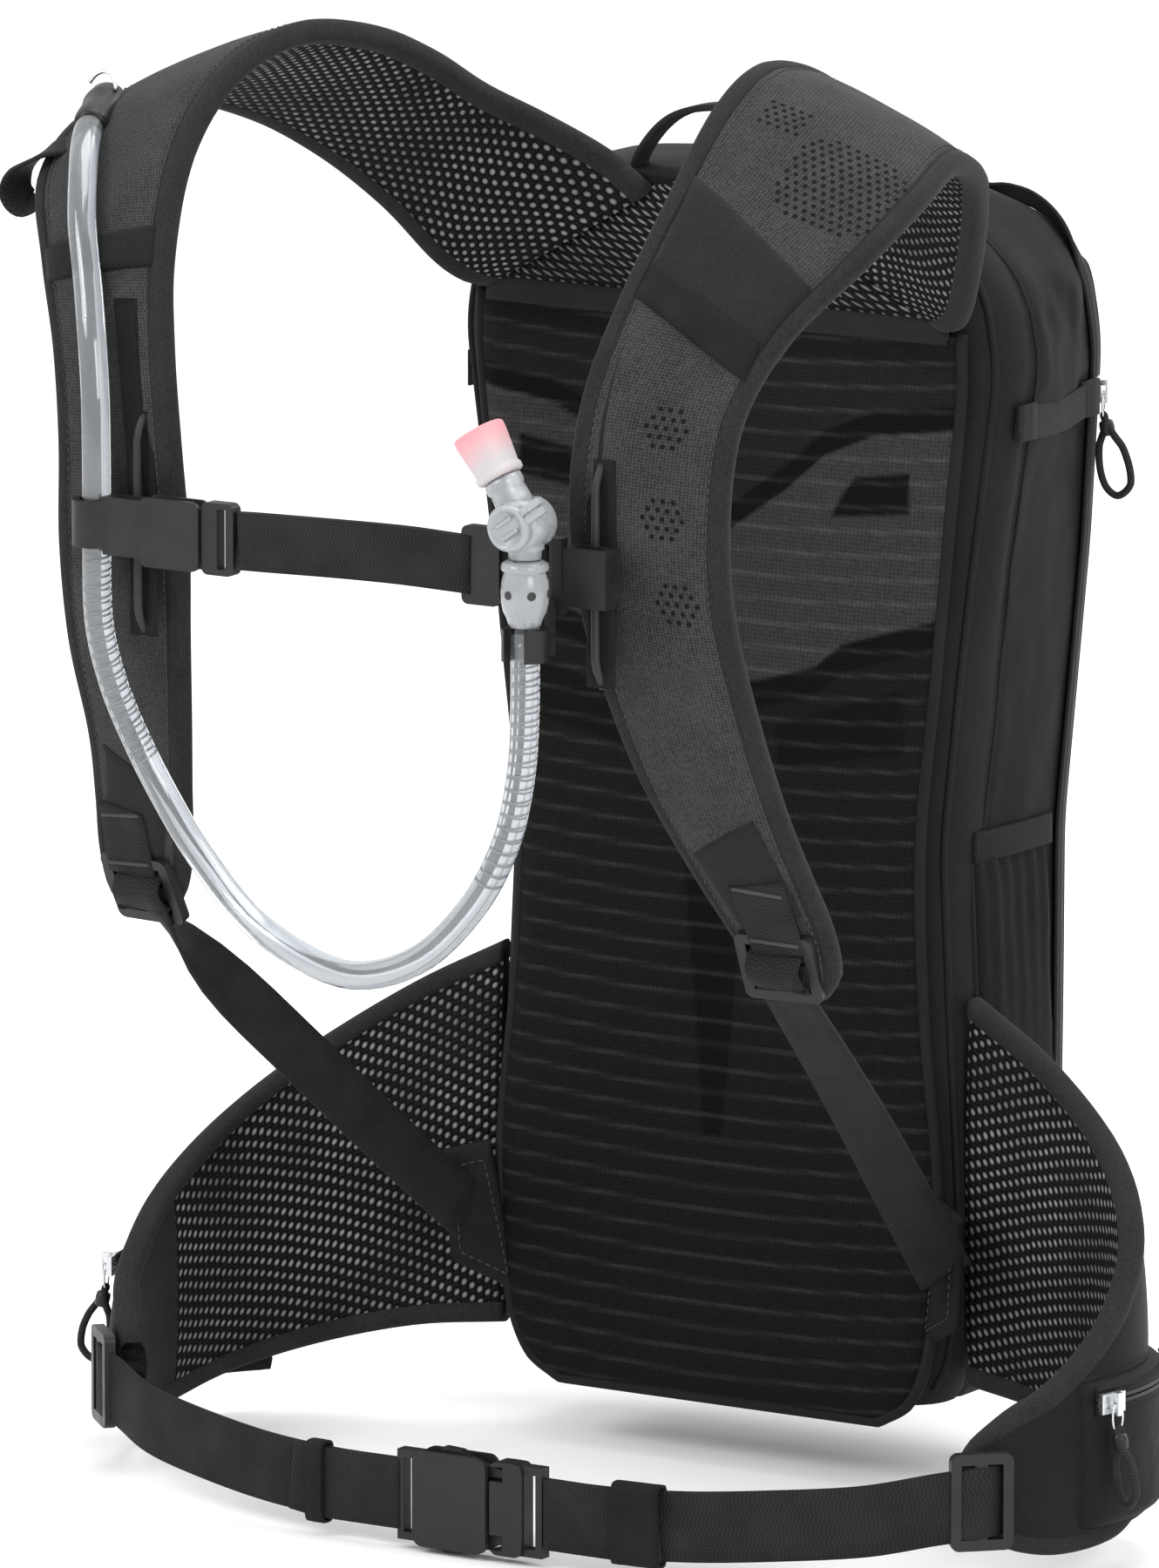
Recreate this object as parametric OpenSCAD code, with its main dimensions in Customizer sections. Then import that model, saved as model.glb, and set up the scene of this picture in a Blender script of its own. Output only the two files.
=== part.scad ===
// Small hydration pack: zipped bag with reservoir, padded harness, drinking hose and hip belt.
// +Z is up. The wearer's back rests on the plane y = 0 and faces -Y. +X is the wearer's left.
// The origin is on the back panel's face, in the middle of the bag's foot.

/* [Bag] */
// Height of the bag
bag_h = 430; // [420:1:436]
// Half width of the bag at hip height
bag_half_w = 95; // [90:1:98]
// Depth of the bag at hip height
bag_d = 88; // [82:1:94]
// Wall of the padded fabric
wall = 2.2; // [1.6:0.1:3]

/* [Harness] */
// Thickness of the shoulder straps
strap_t = 10; // [8:0.5:11]
// Thickness of the hip wings
wing_t = 9; // [8:0.5:10]
// Width of the waist webbing
belt_w = 25; // [24:0.5:26]
// Width of the adjuster and sternum webbing
web_w = 20; // [18:0.5:21]
// Thickness of all webbing
web_t = 1.6; // [1.2:0.1:2]

/* [Hose] */
// Outer diameter of the drinking hose
hose_d = 10; // [9:0.1:10.4]

/* [Hidden] */

// ---- maths ----
function unit(v) = v / norm(v);
function spline(a, b, c, d, t) =
    0.5 * (2 * b + (c - a) * t + (2 * a - 5 * b + 4 * c - d) * t * t + (3 * b - a - 3 * c + d) * t * t * t);
function ends(p) = concat([2 * p[0] - p[1]], p, [2 * p[len(p) - 1] - p[len(p) - 2]]);
function smooth(p, n) = let(q = ends(p)) [
    for (i = [0 : len(p) - 2], k = [0 : n - 1]) spline(q[i], q[i + 1], q[i + 2], q[i + 3], k / n),
    p[len(p) - 1]
];
function tangents(p) = let(q = ends(p)) [for (i = [0 : len(p) - 1]) unit(q[i + 2] - q[i])];
function upright(t, i, u) =
    i == len(t) ? [] : let(v = unit(u - (u * t[i]) * t[i])) concat([v], upright(t, i + 1, v));
function ring_faces(rings, sides) = concat(
    [[for (k = [0 : sides - 1]) k]],
    [for (i = [0 : rings - 2], k = [0 : sides - 1]) let(a = i * sides, b = (k + 1) % sides)
        each [[a + k, a + sides + b, a + b], [a + k, a + sides + k, a + sides + b]]],
    [[for (k = [sides - 1 : -1 : 0]) (rings - 1) * sides + k]]
);

// A round tube along the points p.
module tube(p, r, sides = 10) {
    t = tangents(p);
    u = upright(t, 0, [1, 0, 0.3]);
    points = [for (i = [0 : len(p) - 1], k = [0 : sides - 1])
        let(a = 360 * k / sides) p[i] + r * (cos(a) * u[i] + sin(a) * cross(t[i], u[i]))];
    polyhedron(points, ring_faces(len(p), sides), convexity = 6);
}

// A padded band between two edge curves a and b, thinner at its rims.
rim_w = 0.16;
rim_t = 0.55;
module padded_band(a, b, t) {
    d = tangents((a + b) / 2);
    points = [for (i = [0 : len(a) - 1])
        let(w = b[i] - a[i], n = unit(cross(d[i], w)) * t / 2)
        each [
            a[i] - n * rim_t, a[i] + w * rim_w - n, b[i] - w * rim_w - n, b[i] - n * rim_t,
            b[i] + n * rim_t, b[i] - w * rim_w + n, a[i] + w * rim_w + n, a[i] + n * rim_t
        ]];
    polyhedron(points, ring_faces(len(a), 8), convexity = 6);
}

// Webbing along centre points p, with its width w laid along the directions u.
module webbing(p, u, w, t = web_t) {
    d = tangents(p);
    points = [for (i = [0 : len(p) - 1])
        let(a = unit(u[i]) * w / 2, n = unit(cross(d[i], a)) * t / 2)
        each [p[i] - a - n, p[i] + a - n, p[i] + a + n, p[i] - a + n]];
    polyhedron(points, ring_faces(len(p), 4), convexity = 6);
}

module mirrored() {
    children();
    mirror([1, 0, 0]) children();
}

module rounded_box(size, r) {
    translate([0, 0, -size[2] / 2])
        linear_extrude(size[2])
            offset(r, $fn = 24)
                square([size[0] - 2 * r, size[1] - 2 * r], center = true);
}

// ---- bag ----
heights = [0, 8, 30, 70, 140, 200, 260, 320, 370, 398, 414, 425, bag_h];
function half_w(z) = bag_half_w + lookup(z, [[0, -14], [8, -4], [30, 0], [70, 1], [200, -1],
    [300, 3], [370, 7], [398, 5], [414, -4], [425, -18], [430, -36]]);
// The face towards the wearer narrows at the waist and widens at the shoulders.
function near_w(z) = half_w(z) + lookup(z, [[0, 0], [70, 1], [140, -2], [200, -4], [260, 0],
    [320, 5], [370, 9], [398, 6], [414, 3], [430, 1]]);
function depth(z) = bag_d + lookup(z, [[0, -10], [8, -7], [30, -4], [70, 0], [140, 3], [200, 5],
    [300, 15], [370, 15], [398, 10], [414, 2], [425, -10], [430, -24]]);
near_r = 16;
far_r = 18;
function corner(cx, cy, r, from) =
    [for (k = [0 : 5], a = from + 18 * k) [cx + r * cos(a), cy + r * sin(a)]];
function bag_ring(z, grow) =
    let(xf = half_w(z) + grow - far_r, xn = near_w(z) + grow - near_r,
        y0 = 8 - min(grow, 0) + near_r, y1 = depth(z) + grow - far_r)
    concat(corner(xf, y1, far_r, 0), corner(-xf, y1, far_r, 90),
           corner(-xn, y0, near_r, 180), corner(xn, y0, near_r, 270));
module bag_form(grow = 0) {
    levels = [for (z = heights) z == 0 ? -min(grow, 0) : z == bag_h ? bag_h + grow : z];
    points = [for (i = [0 : len(levels) - 1], q = bag_ring(heights[i], grow)) [q[0], q[1], levels[i]]];
    polyhedron(points, ring_faces(len(levels), 24), convexity = 4);
}
module slab(x0, x1, y0, y1, z0, z1) {
    translate([x0, y0, z0]) cube([x1 - x0, y1 - y0, z1 - z0]);
}

// The main zip runs round the bag a little way in from its front face.
zip_inset = 12;
zip_tape = 5;
function zip_y(z) = depth(min(z, 398)) - zip_inset;
module zip_side(shift, reach) {
    levels = [0, 30, 70, 200, 300, 370, 398];
    edge = concat([[zip_y(0) + shift, -5]], [for (z = levels) [zip_y(z) + shift, z]],
                  [[zip_y(398) + shift, 450]]);
    rotate([90, 0, 90])
        linear_extrude(300, center = true)
            polygon(concat(edge, [[reach, 450], [reach, -5]]));
}
module bag_wall(outer = 0) {
    difference() {
        bag_form(outer);
        bag_form(-wall);
    }
}
module bag_body() {
    color("#18191b") intersection() {
        bag_wall();
        zip_side(-zip_tape / 2, -10);
    }
}
module bag_cover() {
    color("#1d1e20") intersection() {
        bag_wall();
        zip_side(zip_tape / 2, 160);
    }
}
module main_zip() {
    color("#101112") intersection() {
        bag_wall(-0.4);
        zip_side(-zip_tape / 2, 160);
        zip_side(zip_tape / 2, -10);
    }
}

pocket_top = 300;
module front_pocket() {
    color("#1f2022") intersection() {
        difference() {
            bag_form(8);
            bag_form(0);
        }
        slab(-66, 66, 60, 140, 26, pocket_top);
    }
}
module front_zip() {
    color("#101112") intersection() {
        difference() {
            bag_form(7);
            bag_form(0);
        }
        slab(-66, 66, 60, 140, pocket_top, pocket_top + zip_tape);
    }
}
module side_pockets() {
    color("#141516") mirrored() intersection() {
        difference() {
            bag_form(3);
            bag_form(0);
        }
        slab(60, 140, 25, zip_y(22) - 4, 22, 199);
    }
}

compression_z = 352;
module compression_straps() {
    color("#131415") mirrored() intersection() {
        difference() {
            bag_form(3);
            bag_form(0);
        }
        slab(60, 140, 22, zip_y(compression_z) - 6, compression_z - 6, compression_z + 6);
    }
}

loop_x = 40;
module haul_loop() {
    path = smooth([[-loop_x, 15, 422], [-loop_x + 3, 14, 436], [-22, 12, 450], [0, 11, 455],
                   [22, 12, 450], [loop_x - 3, 14, 436], [loop_x, 15, 422]], 3);
    color("#121314") webbing(path, [for (q = path) [0, 1, 0]], 9, 2.4);
}

tab_y = -1;
module anchor_tabs() {
    color("#151617") mirrored()
        translate([97, tab_y, 52])
            rotate([0, 0, -32])
                rotate([90, 0, 0])
                    linear_extrude(3, center = true)
                        polygon([[-16, -30], [9, -18], [12, 22], [-5, 26]]);
}

module back_panel() {
    edge = [[0, -6], [66, -6], [80, 4], [88, 30], [90, 80], [84, 140], [82, 200], [88, 260], [94, 320],
            [98, 360], [98, 384]];
    outline = concat(edge, [for (i = [len(edge) - 1 : -1 : 1]) [-edge[i][0], edge[i][1]]]);
    color("#232325")
        rotate([90, 0, 0])
            mirror([0, 0, 1])
                linear_extrude(8)
                    polygon(outline);
}
module frame_sheet() {
    color("#d8d8d2")
        translate([0, 8 + wall + 0.9, 200])
            rotate([90, 0, 0])
                linear_extrude(1.4, center = true)
                    offset(16, $fn = 32)
                        square([108, 300], center = true);
}
module divider_sleeve() {
    color("#3a3c40")
        translate([0, 46, 205])
            rotate([90, 0, 0])
                linear_extrude(1.2, center = true)
                    offset(20, $fn = 32)
                        square([110, 300], center = true);
}

module reservoir() {
    color("#a9c4d6", 0.6)
        translate([0, 27, 0])
            hull()
                for (q = [[58, 40, 9], [66, 90, 14], [66, 240, 13], [60, 330, 4]], s = [-1, 1])
                    translate([s * (q[0] - 8), 0, q[1]])
                        scale([1, q[2] / 8, 1])
                            sphere(8, $fn = 20);
}
module reservoir_slide() {
    color("#2f6f9a") difference() {
        translate([0, 27, 347]) cube([150, 13, 14], center = true);
        translate([0, 27, 342]) cube([132, 8.6, 8], center = true);
    }
}
module reservoir_hook() {
    color("#202224") {
        translate([0, 27, 359])
            rotate([90, 0, 0])
                linear_extrude(5, center = true)
                    difference() {
                        union() {
                            circle(9, $fn = 40);
                            translate([-9, -5]) square([18, 5]);
                        }
                        circle(5, $fn = 32);
                    }
    }
}
module hose_connector() {
    color("#3c88b4")
        translate([0, 42, 70])
            rotate([90, 0, 0]) {
                difference() {
                    cylinder(h = 5, r = 11, center = true, $fn = 48);
                    cylinder(h = 6, r = 4.4, center = true, $fn = 32);
                }
            }
}

// ---- harness, written for the wearer's left; the right side mirrors it ----
// Neck and armpit edges of the shoulder strap, from the yoke over the shoulder to the chest.
neck_edge = [[28, 4, 424], [42, 0, 436], [61, -12, 449], [75, -28, 460], [81, -52, 474], [85, -84, 486],
    [91, -122, 491], [96, -156, 481], [97, -184, 457], [91, -206, 424], [84, -217, 393], [80, -219, 360],
    [80, -214, 326], [85, -206, 294], [92, -195, 262], [101, -181, 233], [109, -168, 210]];
arm_edge = [[94, 4, 386], [101, -1, 388], [109, -9, 396], [121, -23, 416], [135, -43, 436], [149, -68, 452],
    [161, -104, 462], [169, -142, 454], [165, -172, 438], [149, -193, 415], [137, -204, 388], [133, -207, 356],
    [134, -206, 322], [137, -196, 286], [139, -181, 252], [143, -171, 228], [147, -163, 208]];
module strap_form() {
    padded_band(smooth(neck_edge, 2), smooth(arm_edge, 2), strap_t);
}
module shoulder_strap_left() {
    color("#1b1c1d") strap_form();
}
module shoulder_strap_right() {
    color("#1b1c1d") mirror([1, 0, 0]) strap_form();
}
module yoke() {
    half = [[0, 385], [94, 385], [92, 390], [30, 425], [18, 428], [0, 429]];
    color("#222325")
        translate([0, 0.4, 0])
            rotate([90, 0, 0])
                mirror([0, 0, 1])
                    linear_extrude(7.4)
                        polygon(concat(half, [for (i = [4 : -1 : 1]) [-half[i][0], half[i][1]]]));
}

// Bands sewn across the straps. On the wearer's right the band also holds the hose.
module strap_bands() {
    left = [[101, -196, 446], [113, -197, 440], [126, -198, 433], [136, -198, 426], [146, -197, 419]];
    right = [[-100, -200, 441], [-111, -201, 439], [-122, -203, 438], [-130, -205, 438],
             [-139, -203, 435], [-145, -198, 431], [-151, -192, 427]];
    color("#161718") {
        webbing(smooth(left, 2), [for (k = [0 : 8]) [0.32, 0.54, 0.78]], 14, 1.6);
        webbing(smooth(right, 2), [for (k = [0 : 12]) [-0.32, 0.54, 0.78]], 14, 1.4);
    }
}

// The chest strap's own frame. Its height is set along z, on a rail in front of each strap.
chest = [0, -228, 334];
rail_x = 92;
module in_chest_frame() {
    translate(chest) children();
}
rail_w = 10;
rail_t = 2.4;
rail_h = 78;
module sternum_rails() {
    color("#141516") mirrored() in_chest_frame() translate([rail_x, 0, 0]) {
        cube([rail_w, rail_t, rail_h], center = true);
        translate([0, 4, rail_h / 2 - 4]) cube([rail_w, 8, 8], center = true);
        translate([0, 9, 4 - rail_h / 2]) cube([rail_w, 18, 8], center = true);
    }
}

// Ladder-lock: a frame with two slots and a middle bar. Local x is the webbing's width.
module ladder_lock(w, h, t, bar) {
    difference() {
        rotate([90, 0, 0]) rounded_box([w + 9, h, t], 3);
        for (s = [-1, 1])
            translate([0, 0, s * (h - bar) / 4]) cube([w + 1.4, t + 2, (h - 3 * bar) / 2], center = true);
    }
}
lock_at = [129, -165, 194];
lock_tilt = 26;
module strap_locks() {
    color("#0f1011") mirrored() translate(lock_at) rotate([0, 0, 6]) rotate([lock_tilt, 0, 0])
        ladder_lock(web_w, 27, 4, 4);
}
// Adjuster webbing: through the ladder-lock, down and back to the bag's lower corner.
module adjuster_form() {
    path = smooth([[128, -161, 204], [129, -168, 199], [129, -171, 193], [129, -166, 187],
                   [128, -158, 182], [118, -98, 132], [107, -42, 84], [99, -4, 52]], 2);
    across = [for (i = [0 : len(path) - 1])
        let(s = max(0, (i - 8) / (len(path) - 9))) [1 - 1.5 * s, 0.1 + 0.4 * s, -0.05 + 0.7 * s]];
    webbing(path, across, web_w);
}
module adjuster_left() {
    color("#121314") adjuster_form();
}
module adjuster_right() {
    color("#121314") mirror([1, 0, 0]) adjuster_form();
}

// Hip wing: plan route with its upper and lower edge heights.
wing_route = [[97, 19], [131, 12], [164, -2], [186, -25], [194.5, -54], [190, -82], [181, -100], [170, -112]];
wing_top = [146, 128, 105, 82, 60, 41, 32, 24];
wing_foot = [9, 5, -3, -11, -18, -19, -15, -8];
function wing_edge(z) = [for (i = [0 : len(z) - 1]) [wing_route[i][0], wing_route[i][1], z[i]]];
module wing_form() {
    padded_band(smooth(wing_edge(wing_foot), 2), smooth(wing_edge(wing_top), 2), wing_t);
}
module hip_wing_left() {
    color("#1c1d1f") wing_form();
}
module hip_wing_right() {
    color("#1c1d1f") mirror([1, 0, 0]) wing_form();
}

// Pocket on the outer face of each wing: part of a drum round the wing's own bend, with a level zip.
bend_at = [138, -53];
pocket_r = [58, 67.5];
pocket_from = -24;
pocket_to = 46;
pocket_z = [-13, 40];
hip_zip_z = 33;
module pocket_arc(r1, z0, z1, inset = 0) {
    translate(bend_at)
        rotate([0, 0, pocket_from + inset])
            rotate_extrude(angle = pocket_to - pocket_from - 2 * inset, $fn = 96)
                polygon([[pocket_r[0], z0], [r1 - 2, z0], [r1, z0 + 2], [r1, z1 - 1], [r1 - 1, z1],
                         [pocket_r[0], z1]]);
}
module hip_pockets() {
    color("#1e1f21") mirrored() {
        pocket_arc(pocket_r[1], pocket_z[0], hip_zip_z - zip_tape / 2);
        pocket_arc(pocket_r[1], hip_zip_z + zip_tape / 2, pocket_z[1]);
    }
}
module hip_zips() {
    color("#101112") mirrored()
        pocket_arc(pocket_r[1] - 0.4, hip_zip_z - zip_tape / 2, hip_zip_z + zip_tape / 2, 1);
}

// ---- waist belt ----
belt_y = -158;
belt_z = -10.5;
belt_lock_at = [180, -116, 4];
belt_lock_turn = 44;
module belt_lock_form() {
    translate(belt_lock_at) rotate([0, 0, belt_lock_turn]) rotate([0, 90, 0]) ladder_lock(belt_w, 22, 4, 3.6);
}
module belt_lock_left() {
    color("#0f1011") belt_lock_form();
}
module belt_lock_right() {
    color("#0f1011") mirror([1, 0, 0]) belt_lock_form();
}
// Waist webbing from its ladder-lock to the buckle, x given for the wearer's left.
function belt_route(end_x) = smooth([[184, -107, 4], [182, -116, 4], [176, -121, 3], [166, -126, 1],
    [146, -138, -3], [118, -148, -6], [86, -155, -9], [56, -157.5, belt_z], [end_x, belt_y, belt_z]], 2);
module belt_form(end_x) {
    path = belt_route(end_x);
    webbing(path, [for (q = path) [0, 0, 1]], belt_w);
}
plug_end = 30.8;
socket_end = 27;
module belt_webbing_left() {
    color("#131415") belt_form(plug_end);
}
module belt_webbing_right() {
    color("#131415") mirror([1, 0, 0]) belt_form(socket_end);
}
module keeper(x, y, z, turn, w) {
    translate([x, y, z])
        rotate([0, 0, turn])
            difference() {
                cube([w, 6.4, belt_w + 5], center = true);
                cube([w + 1, 3.4, belt_w + 1.6], center = true);
            }
}
module belt_keepers() {
    color("#121314") {
        keeper(68, -156.7, belt_z + 0.6, 4.5, 18);
        keeper(-62, -157, belt_z, -4, 7);
    }
}

// Side-release buckle, 25 mm. The plug leaves the socket towards +X.
buckle_h = 34;
buckle_t = 10;
module buckle_frame() {
    translate([0, belt_y, belt_z]) children();
}
module waist_socket() {
    color("#0f1011") buckle_frame() {
        // front and back plates, joined by the end wall and the guide ribs beside the tongue
        for (s = [-1, 1])
            translate([-6, s * (buckle_t / 2 - 1), 0]) rotate([90, 0, 0]) rounded_box([30, buckle_h, 2], 4);
        translate([-18, 0, 0]) cube([5, buckle_t - 1, buckle_h - 8], center = true);
        for (s = [-1, 1])
            translate([-6, 0, s * 5.4]) cube([22, buckle_t - 1, 1.6], center = true);
        // slot for the webbing loop
        difference() {
            translate([-24, 0, 0]) cube([9, 5, buckle_h - 2], center = true);
            translate([-24, 0, 0]) cube([4, 8, belt_w + 1.4], center = true);
        }
    }
}
module waist_plug() {
    color("#121314") buckle_frame() {
        difference() {
            union() {
                translate([16.5, 0, 0]) rotate([90, 0, 0]) rounded_box([13, buckle_h - 1, 8], 3);
                translate([26, 0, 0]) cube([9, 5, buckle_h - 2], center = true);
            }
            translate([25.6, 0, 0]) cube([4.6, 9, belt_w + 1.4], center = true);
            for (s = [-1, 1])
                translate([12, 0, s * 12.2]) cube([7, 10, 5.4], center = true);
        }
        // tongue between the guide ribs
        translate([1, 0, 0]) cube([20, 4, 7], center = true);
    }
}
module prong() {
    // arm from the plug's root, with a pad for the finger at its outer edge
    translate([0, 1.5, 0])
        rotate([90, 0, 0])
            linear_extrude(3)
                polygon([[15.2, 10.6], [15.2, 13.2], [4, 14.6], [-3, 18.4], [-10, 18.8], [-13.6, 15.4],
                         [-13.6, 11.4], [-8, 10], [2, 10]]);
}
module waist_prong_upper() {
    color("#121314") buckle_frame() prong();
}
module waist_prong_lower() {
    color("#121314") buckle_frame() mirror([0, 0, 1]) prong();
}

// ---- sternum strap ----
sternum_y = -4;
slot_w = rail_w + 1.2;
slot_t = rail_t + 1.2;
module slider_loop() {
    difference() {
        cube([18, 9, 20], center = true);
        cube([slot_w, slot_t, 22], center = true);
    }
}
module sternum_slider_left() {
    color("#0f1011") in_chest_frame() {
        translate([rail_x, 0, 0]) slider_loop();
        difference() {
            translate([79, sternum_y + 1, 0]) cube([10, 4, 26], center = true);
            translate([78, sternum_y + 1, 0]) cube([4, 6, web_w + 1], center = true);
        }
    }
}
// On the wearer's right the slider also guides the hose through an eyelet.
eyelet = [-107, 1, 0];
module sternum_slider_right() {
    color("#0f1011") in_chest_frame() difference() {
        union() {
            translate([-rail_x, 0, 0]) cube([18, 9, 20], center = true);
            translate(eyelet) cylinder(h = 16, r = 8.4, center = true, $fn = 48);
        }
        translate([-rail_x, 0, 0]) cube([slot_w, slot_t, 22], center = true);
        translate(eyelet) cylinder(h = 18, r = hose_d / 2 + 0.9, center = true, $fn = 48);
    }
}
valve_x = 79;
valve_y = -248;
// Clip that parks the end of the hose on the sternum strap.
module hose_clip() {
    color("#0f1011") {
        translate([valve_x, valve_y, 313]) difference() {
            cylinder(h = 11, r = 8, center = true, $fn = 48);
            cylinder(h = 12, r = hose_d / 2 + 0.1, center = true, $fn = 48);
            translate([0, -8, 0]) cube([8, 10, 12], center = true);
        }
        translate([valve_x, -237.2, 317]) cube([6, 7.4, 19], center = true);
    }
}
module sternum_socket() {
    color("#0f1011") in_chest_frame() translate([-72, sternum_y, 0]) {
        for (s = [-1, 1])
            translate([0, s * 2.9, 0]) rotate([90, 0, 0]) rounded_box([24, 24, 1.6], 3);
        translate([-10.4, 0, 0]) cube([3, 5, 18], center = true);
        for (s = [-1, 1])
            translate([-1, 0, s * 4.6]) cube([16, 5, 1.4], center = true);
    }
}
module sternum_plug() {
    color("#121314") in_chest_frame() translate([-72, sternum_y, 0]) {
        difference() {
            translate([19, 0, 0]) rotate([90, 0, 0]) rounded_box([13, 25, 5], 2.5);
            translate([20.6, 0, 0]) cube([3.4, 6, web_w + 0.8], center = true);
        }
        translate([4, 0, 0]) cube([18, 2.6, 6.4], center = true);
        for (s = [-1, 1])
            translate([3, 0, s * 8.6]) rotate([0, s * 4, 0]) cube([20, 2.6, 3], center = true);
    }
}
module sternum_webbing() {
    path = smooth([[-46, -4, 0], [-38, -4.4, 0.5], [-10, -6, 1.5], [22, -6, 2], [46, -6.6, 1.5],
                   [60, -6, 1], [77, -3, 0]], 2);
    color("#131415") in_chest_frame() webbing(path, [for (q = path) [0, 0, 1]], web_w);
}
module sternum_triglide() {
    color("#0f1011") in_chest_frame() translate([54, -6.6, 1.5]) difference() {
        rotate([90, 0, 0]) rounded_box([15, 27, 4], 2.5);
        cube([16, web_t + 0.6, web_w + 0.8], center = true);
    }
}

// ---- hose and bite valve ----
// Route of the drinking hose from the port on the wearer's right strap to the valve.
hose_route = [[-153, -153, 463], [-147, -169, 460.5], [-140.5, -182.5, 455.5], [-134, -194, 446.5],
    [-127, -205, 432.5], [-119, -214, 415.5], [-112, -222, 398], [-108, -226, 378], [-107, -227, 356],
    [-107, -227, 328], [-107, -226, 300],
    [-104, -222, 278], [-98, -217, 258], [-88, -214, 238], [-72, -215, 218], [-46, -220, 198], [-6, -230, 188],
    [28, -238, 197], [54, -244, 218], [70, -247, 242], [77, -248, 266], [79, -248, 290], [79, -248, 322]];
valve_at = [valve_x, valve_y, 354];
// Angle of the mouthpiece from upright, towards -X.
valve_lean = 32;

module hose_port() {
    p = hose_route[0];
    d = unit(hose_route[1] - p);
    color("#2a2b2c")
        translate(p - 9 * d)
            rotate([0, acos(d[2]), atan2(d[1], d[0])])
                difference() {
                    union() {
                        cylinder(h = 9, r = 7.4, $fn = 40);
                        cylinder(h = 3, r = 10, $fn = 40);
                    }
                    translate([0, 0, 4]) cylinder(h = 6, r = hose_d / 2 - 1.5, $fn = 32);
                }
}
module hose() {
    color("#d5d9db", 0.7) tube(smooth(hose_route, 2), hose_d / 2, 10);
}
module hose_collar() {
    color("#e2e6e8")
        translate([valve_x, valve_y, 322])
            rotate_extrude($fn = 48)
                polygon([[0, 0], [6.4, 0], [7.8, 3], [7.8, 17], [6.2, 20], [0, 20]]);
}
barrel_axis = [-sin(valve_lean), 0, cos(valve_lean)];
module valve_body() {
    color("#dfe4e6") {
        translate([valve_x, valve_y, 342.4]) cylinder(h = 8, r = 5.6, $fn = 40);
        translate(valve_at) rotate([90, 0, 0]) cylinder(h = 15, r = 8.6, center = true, $fn = 48);
        translate(valve_at) rotate([0, -valve_lean, 0]) cylinder(h = 17, r = 6.4, $fn = 40);
    }
}
lever_y = -9.9;
module valve_lever() {
    color("#cfd6d9")
        translate(valve_at) {
            translate([0, lever_y, 0])
                rotate([90, 0, 0])
                    difference() {
                        cylinder(h = 4, r = 7.8, center = true, $fn = 48);
                        for (s = [-1, 1])
                            translate([0, s * 2.6, 2]) cube([9, 1.6, 2], center = true);
                    }
            rotate([0, 55, 0])
                translate([0, lever_y, 11.5])
                    cube([5, 3.6, 10], center = true);
        }
}
module bite_valve() {
    color("#f0c9c9", 0.8)
        translate(valve_at + 17.4 * barrel_axis)
            rotate([0, -valve_lean, 0])
                difference() {
                    rotate_extrude($fn = 48)
                        polygon([[0, 0], [7.4, 0], [8.2, 2], [7.6, 6], [9.4, 12], [9.4, 15],
                                 [8.2, 18], [0, 18]]);
                    translate([0, 0, 15]) cube([13, 2, 8], center = true);
                }
}

// ---- zip sliders and pulls ----
// A slider's own frame: local -y points out of the cloth. The plate is given as [across, up].
module zip_slider(plate) {
    translate([0, -1.6, 0]) cube([plate[0], 2, plate[1]], center = true);
    difference() {
        translate([0, -4.2, 0]) cube([2.4, 3.4, 8], center = true);
        translate([0, -4.4, 0]) cube([3, 1.6, 4.4], center = true);
    }
}
along_zip = [7, 11];
level_zip = [11, 7];
// The pull hangs from the slider's bridge: a wire ring and a cord loop, both of one piece here.
pull_pivot = [0, -4.4, 0];
module zip_pull(len) {
    translate(pull_pivot) difference() {
        union() {
            cube([5.8, 1, 1], center = true);
            for (s = [-1, 1])
                translate([s * 2.5, 0, -4.5]) cube([0.9, 1, 11], center = true);
            translate([0, 0, -10.6]) cube([6.6, 2.4, 3], center = true);
            translate([0, 0, -12 - (len - 12) / 2])
                rotate([90, 0, 0]) rounded_box([10, len - 12, 2.4], 4.9);
        }
        translate([0, 0, -13 - (len - 14) / 2])
            rotate([90, 0, 0]) rounded_box([5, len - 18, 4], 2.4);
    }
}
// Rest heights of the left and right main sliders.
main_zip_z = [352, 204];
// Angle of the bag's rounded front edge where the zip runs.
zip_face = 20;
module on_main_zip(side) {
    z = side > 0 ? main_zip_z[0] : main_zip_z[1];
    translate([side * (half_w(z) - 0.9), zip_y(z) + 0.4, z])
        rotate([0, 0, side * (90 + zip_face)])
            children();
}
module main_slider_left() {
    color("#c9cbcc") on_main_zip(1) zip_slider(along_zip);
}
module main_pull_left() {
    color("#17181a") on_main_zip(1) zip_pull(38);
}
module main_slider_right() {
    color("#c9cbcc") on_main_zip(-1) zip_slider(along_zip);
}
module main_pull_right() {
    color("#17181a") on_main_zip(-1) zip_pull(38);
}
front_slider_x = 52;
module on_front_zip() {
    translate([front_slider_x, depth(pocket_top) + 8.6, pocket_top + zip_tape / 2])
        rotate([0, 0, 180])
            children();
}
module front_slider() {
    color("#c9cbcc") on_front_zip() zip_slider(level_zip);
}
module front_pull() {
    color("#17181a") on_front_zip() zip_pull(34);
}
hip_slider_turn = -15;
module on_hip_zip() {
    translate([bend_at[0], bend_at[1], hip_zip_z])
        rotate([0, 0, hip_slider_turn + 90])
            translate([0, -pocket_r[1] - 0.6, 0])
                children();
}
module hip_slider_left() {
    color("#c9cbcc") on_hip_zip() zip_slider(level_zip);
}
module hip_pull_left() {
    color("#17181a") on_hip_zip() zip_pull(36);
}
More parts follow.
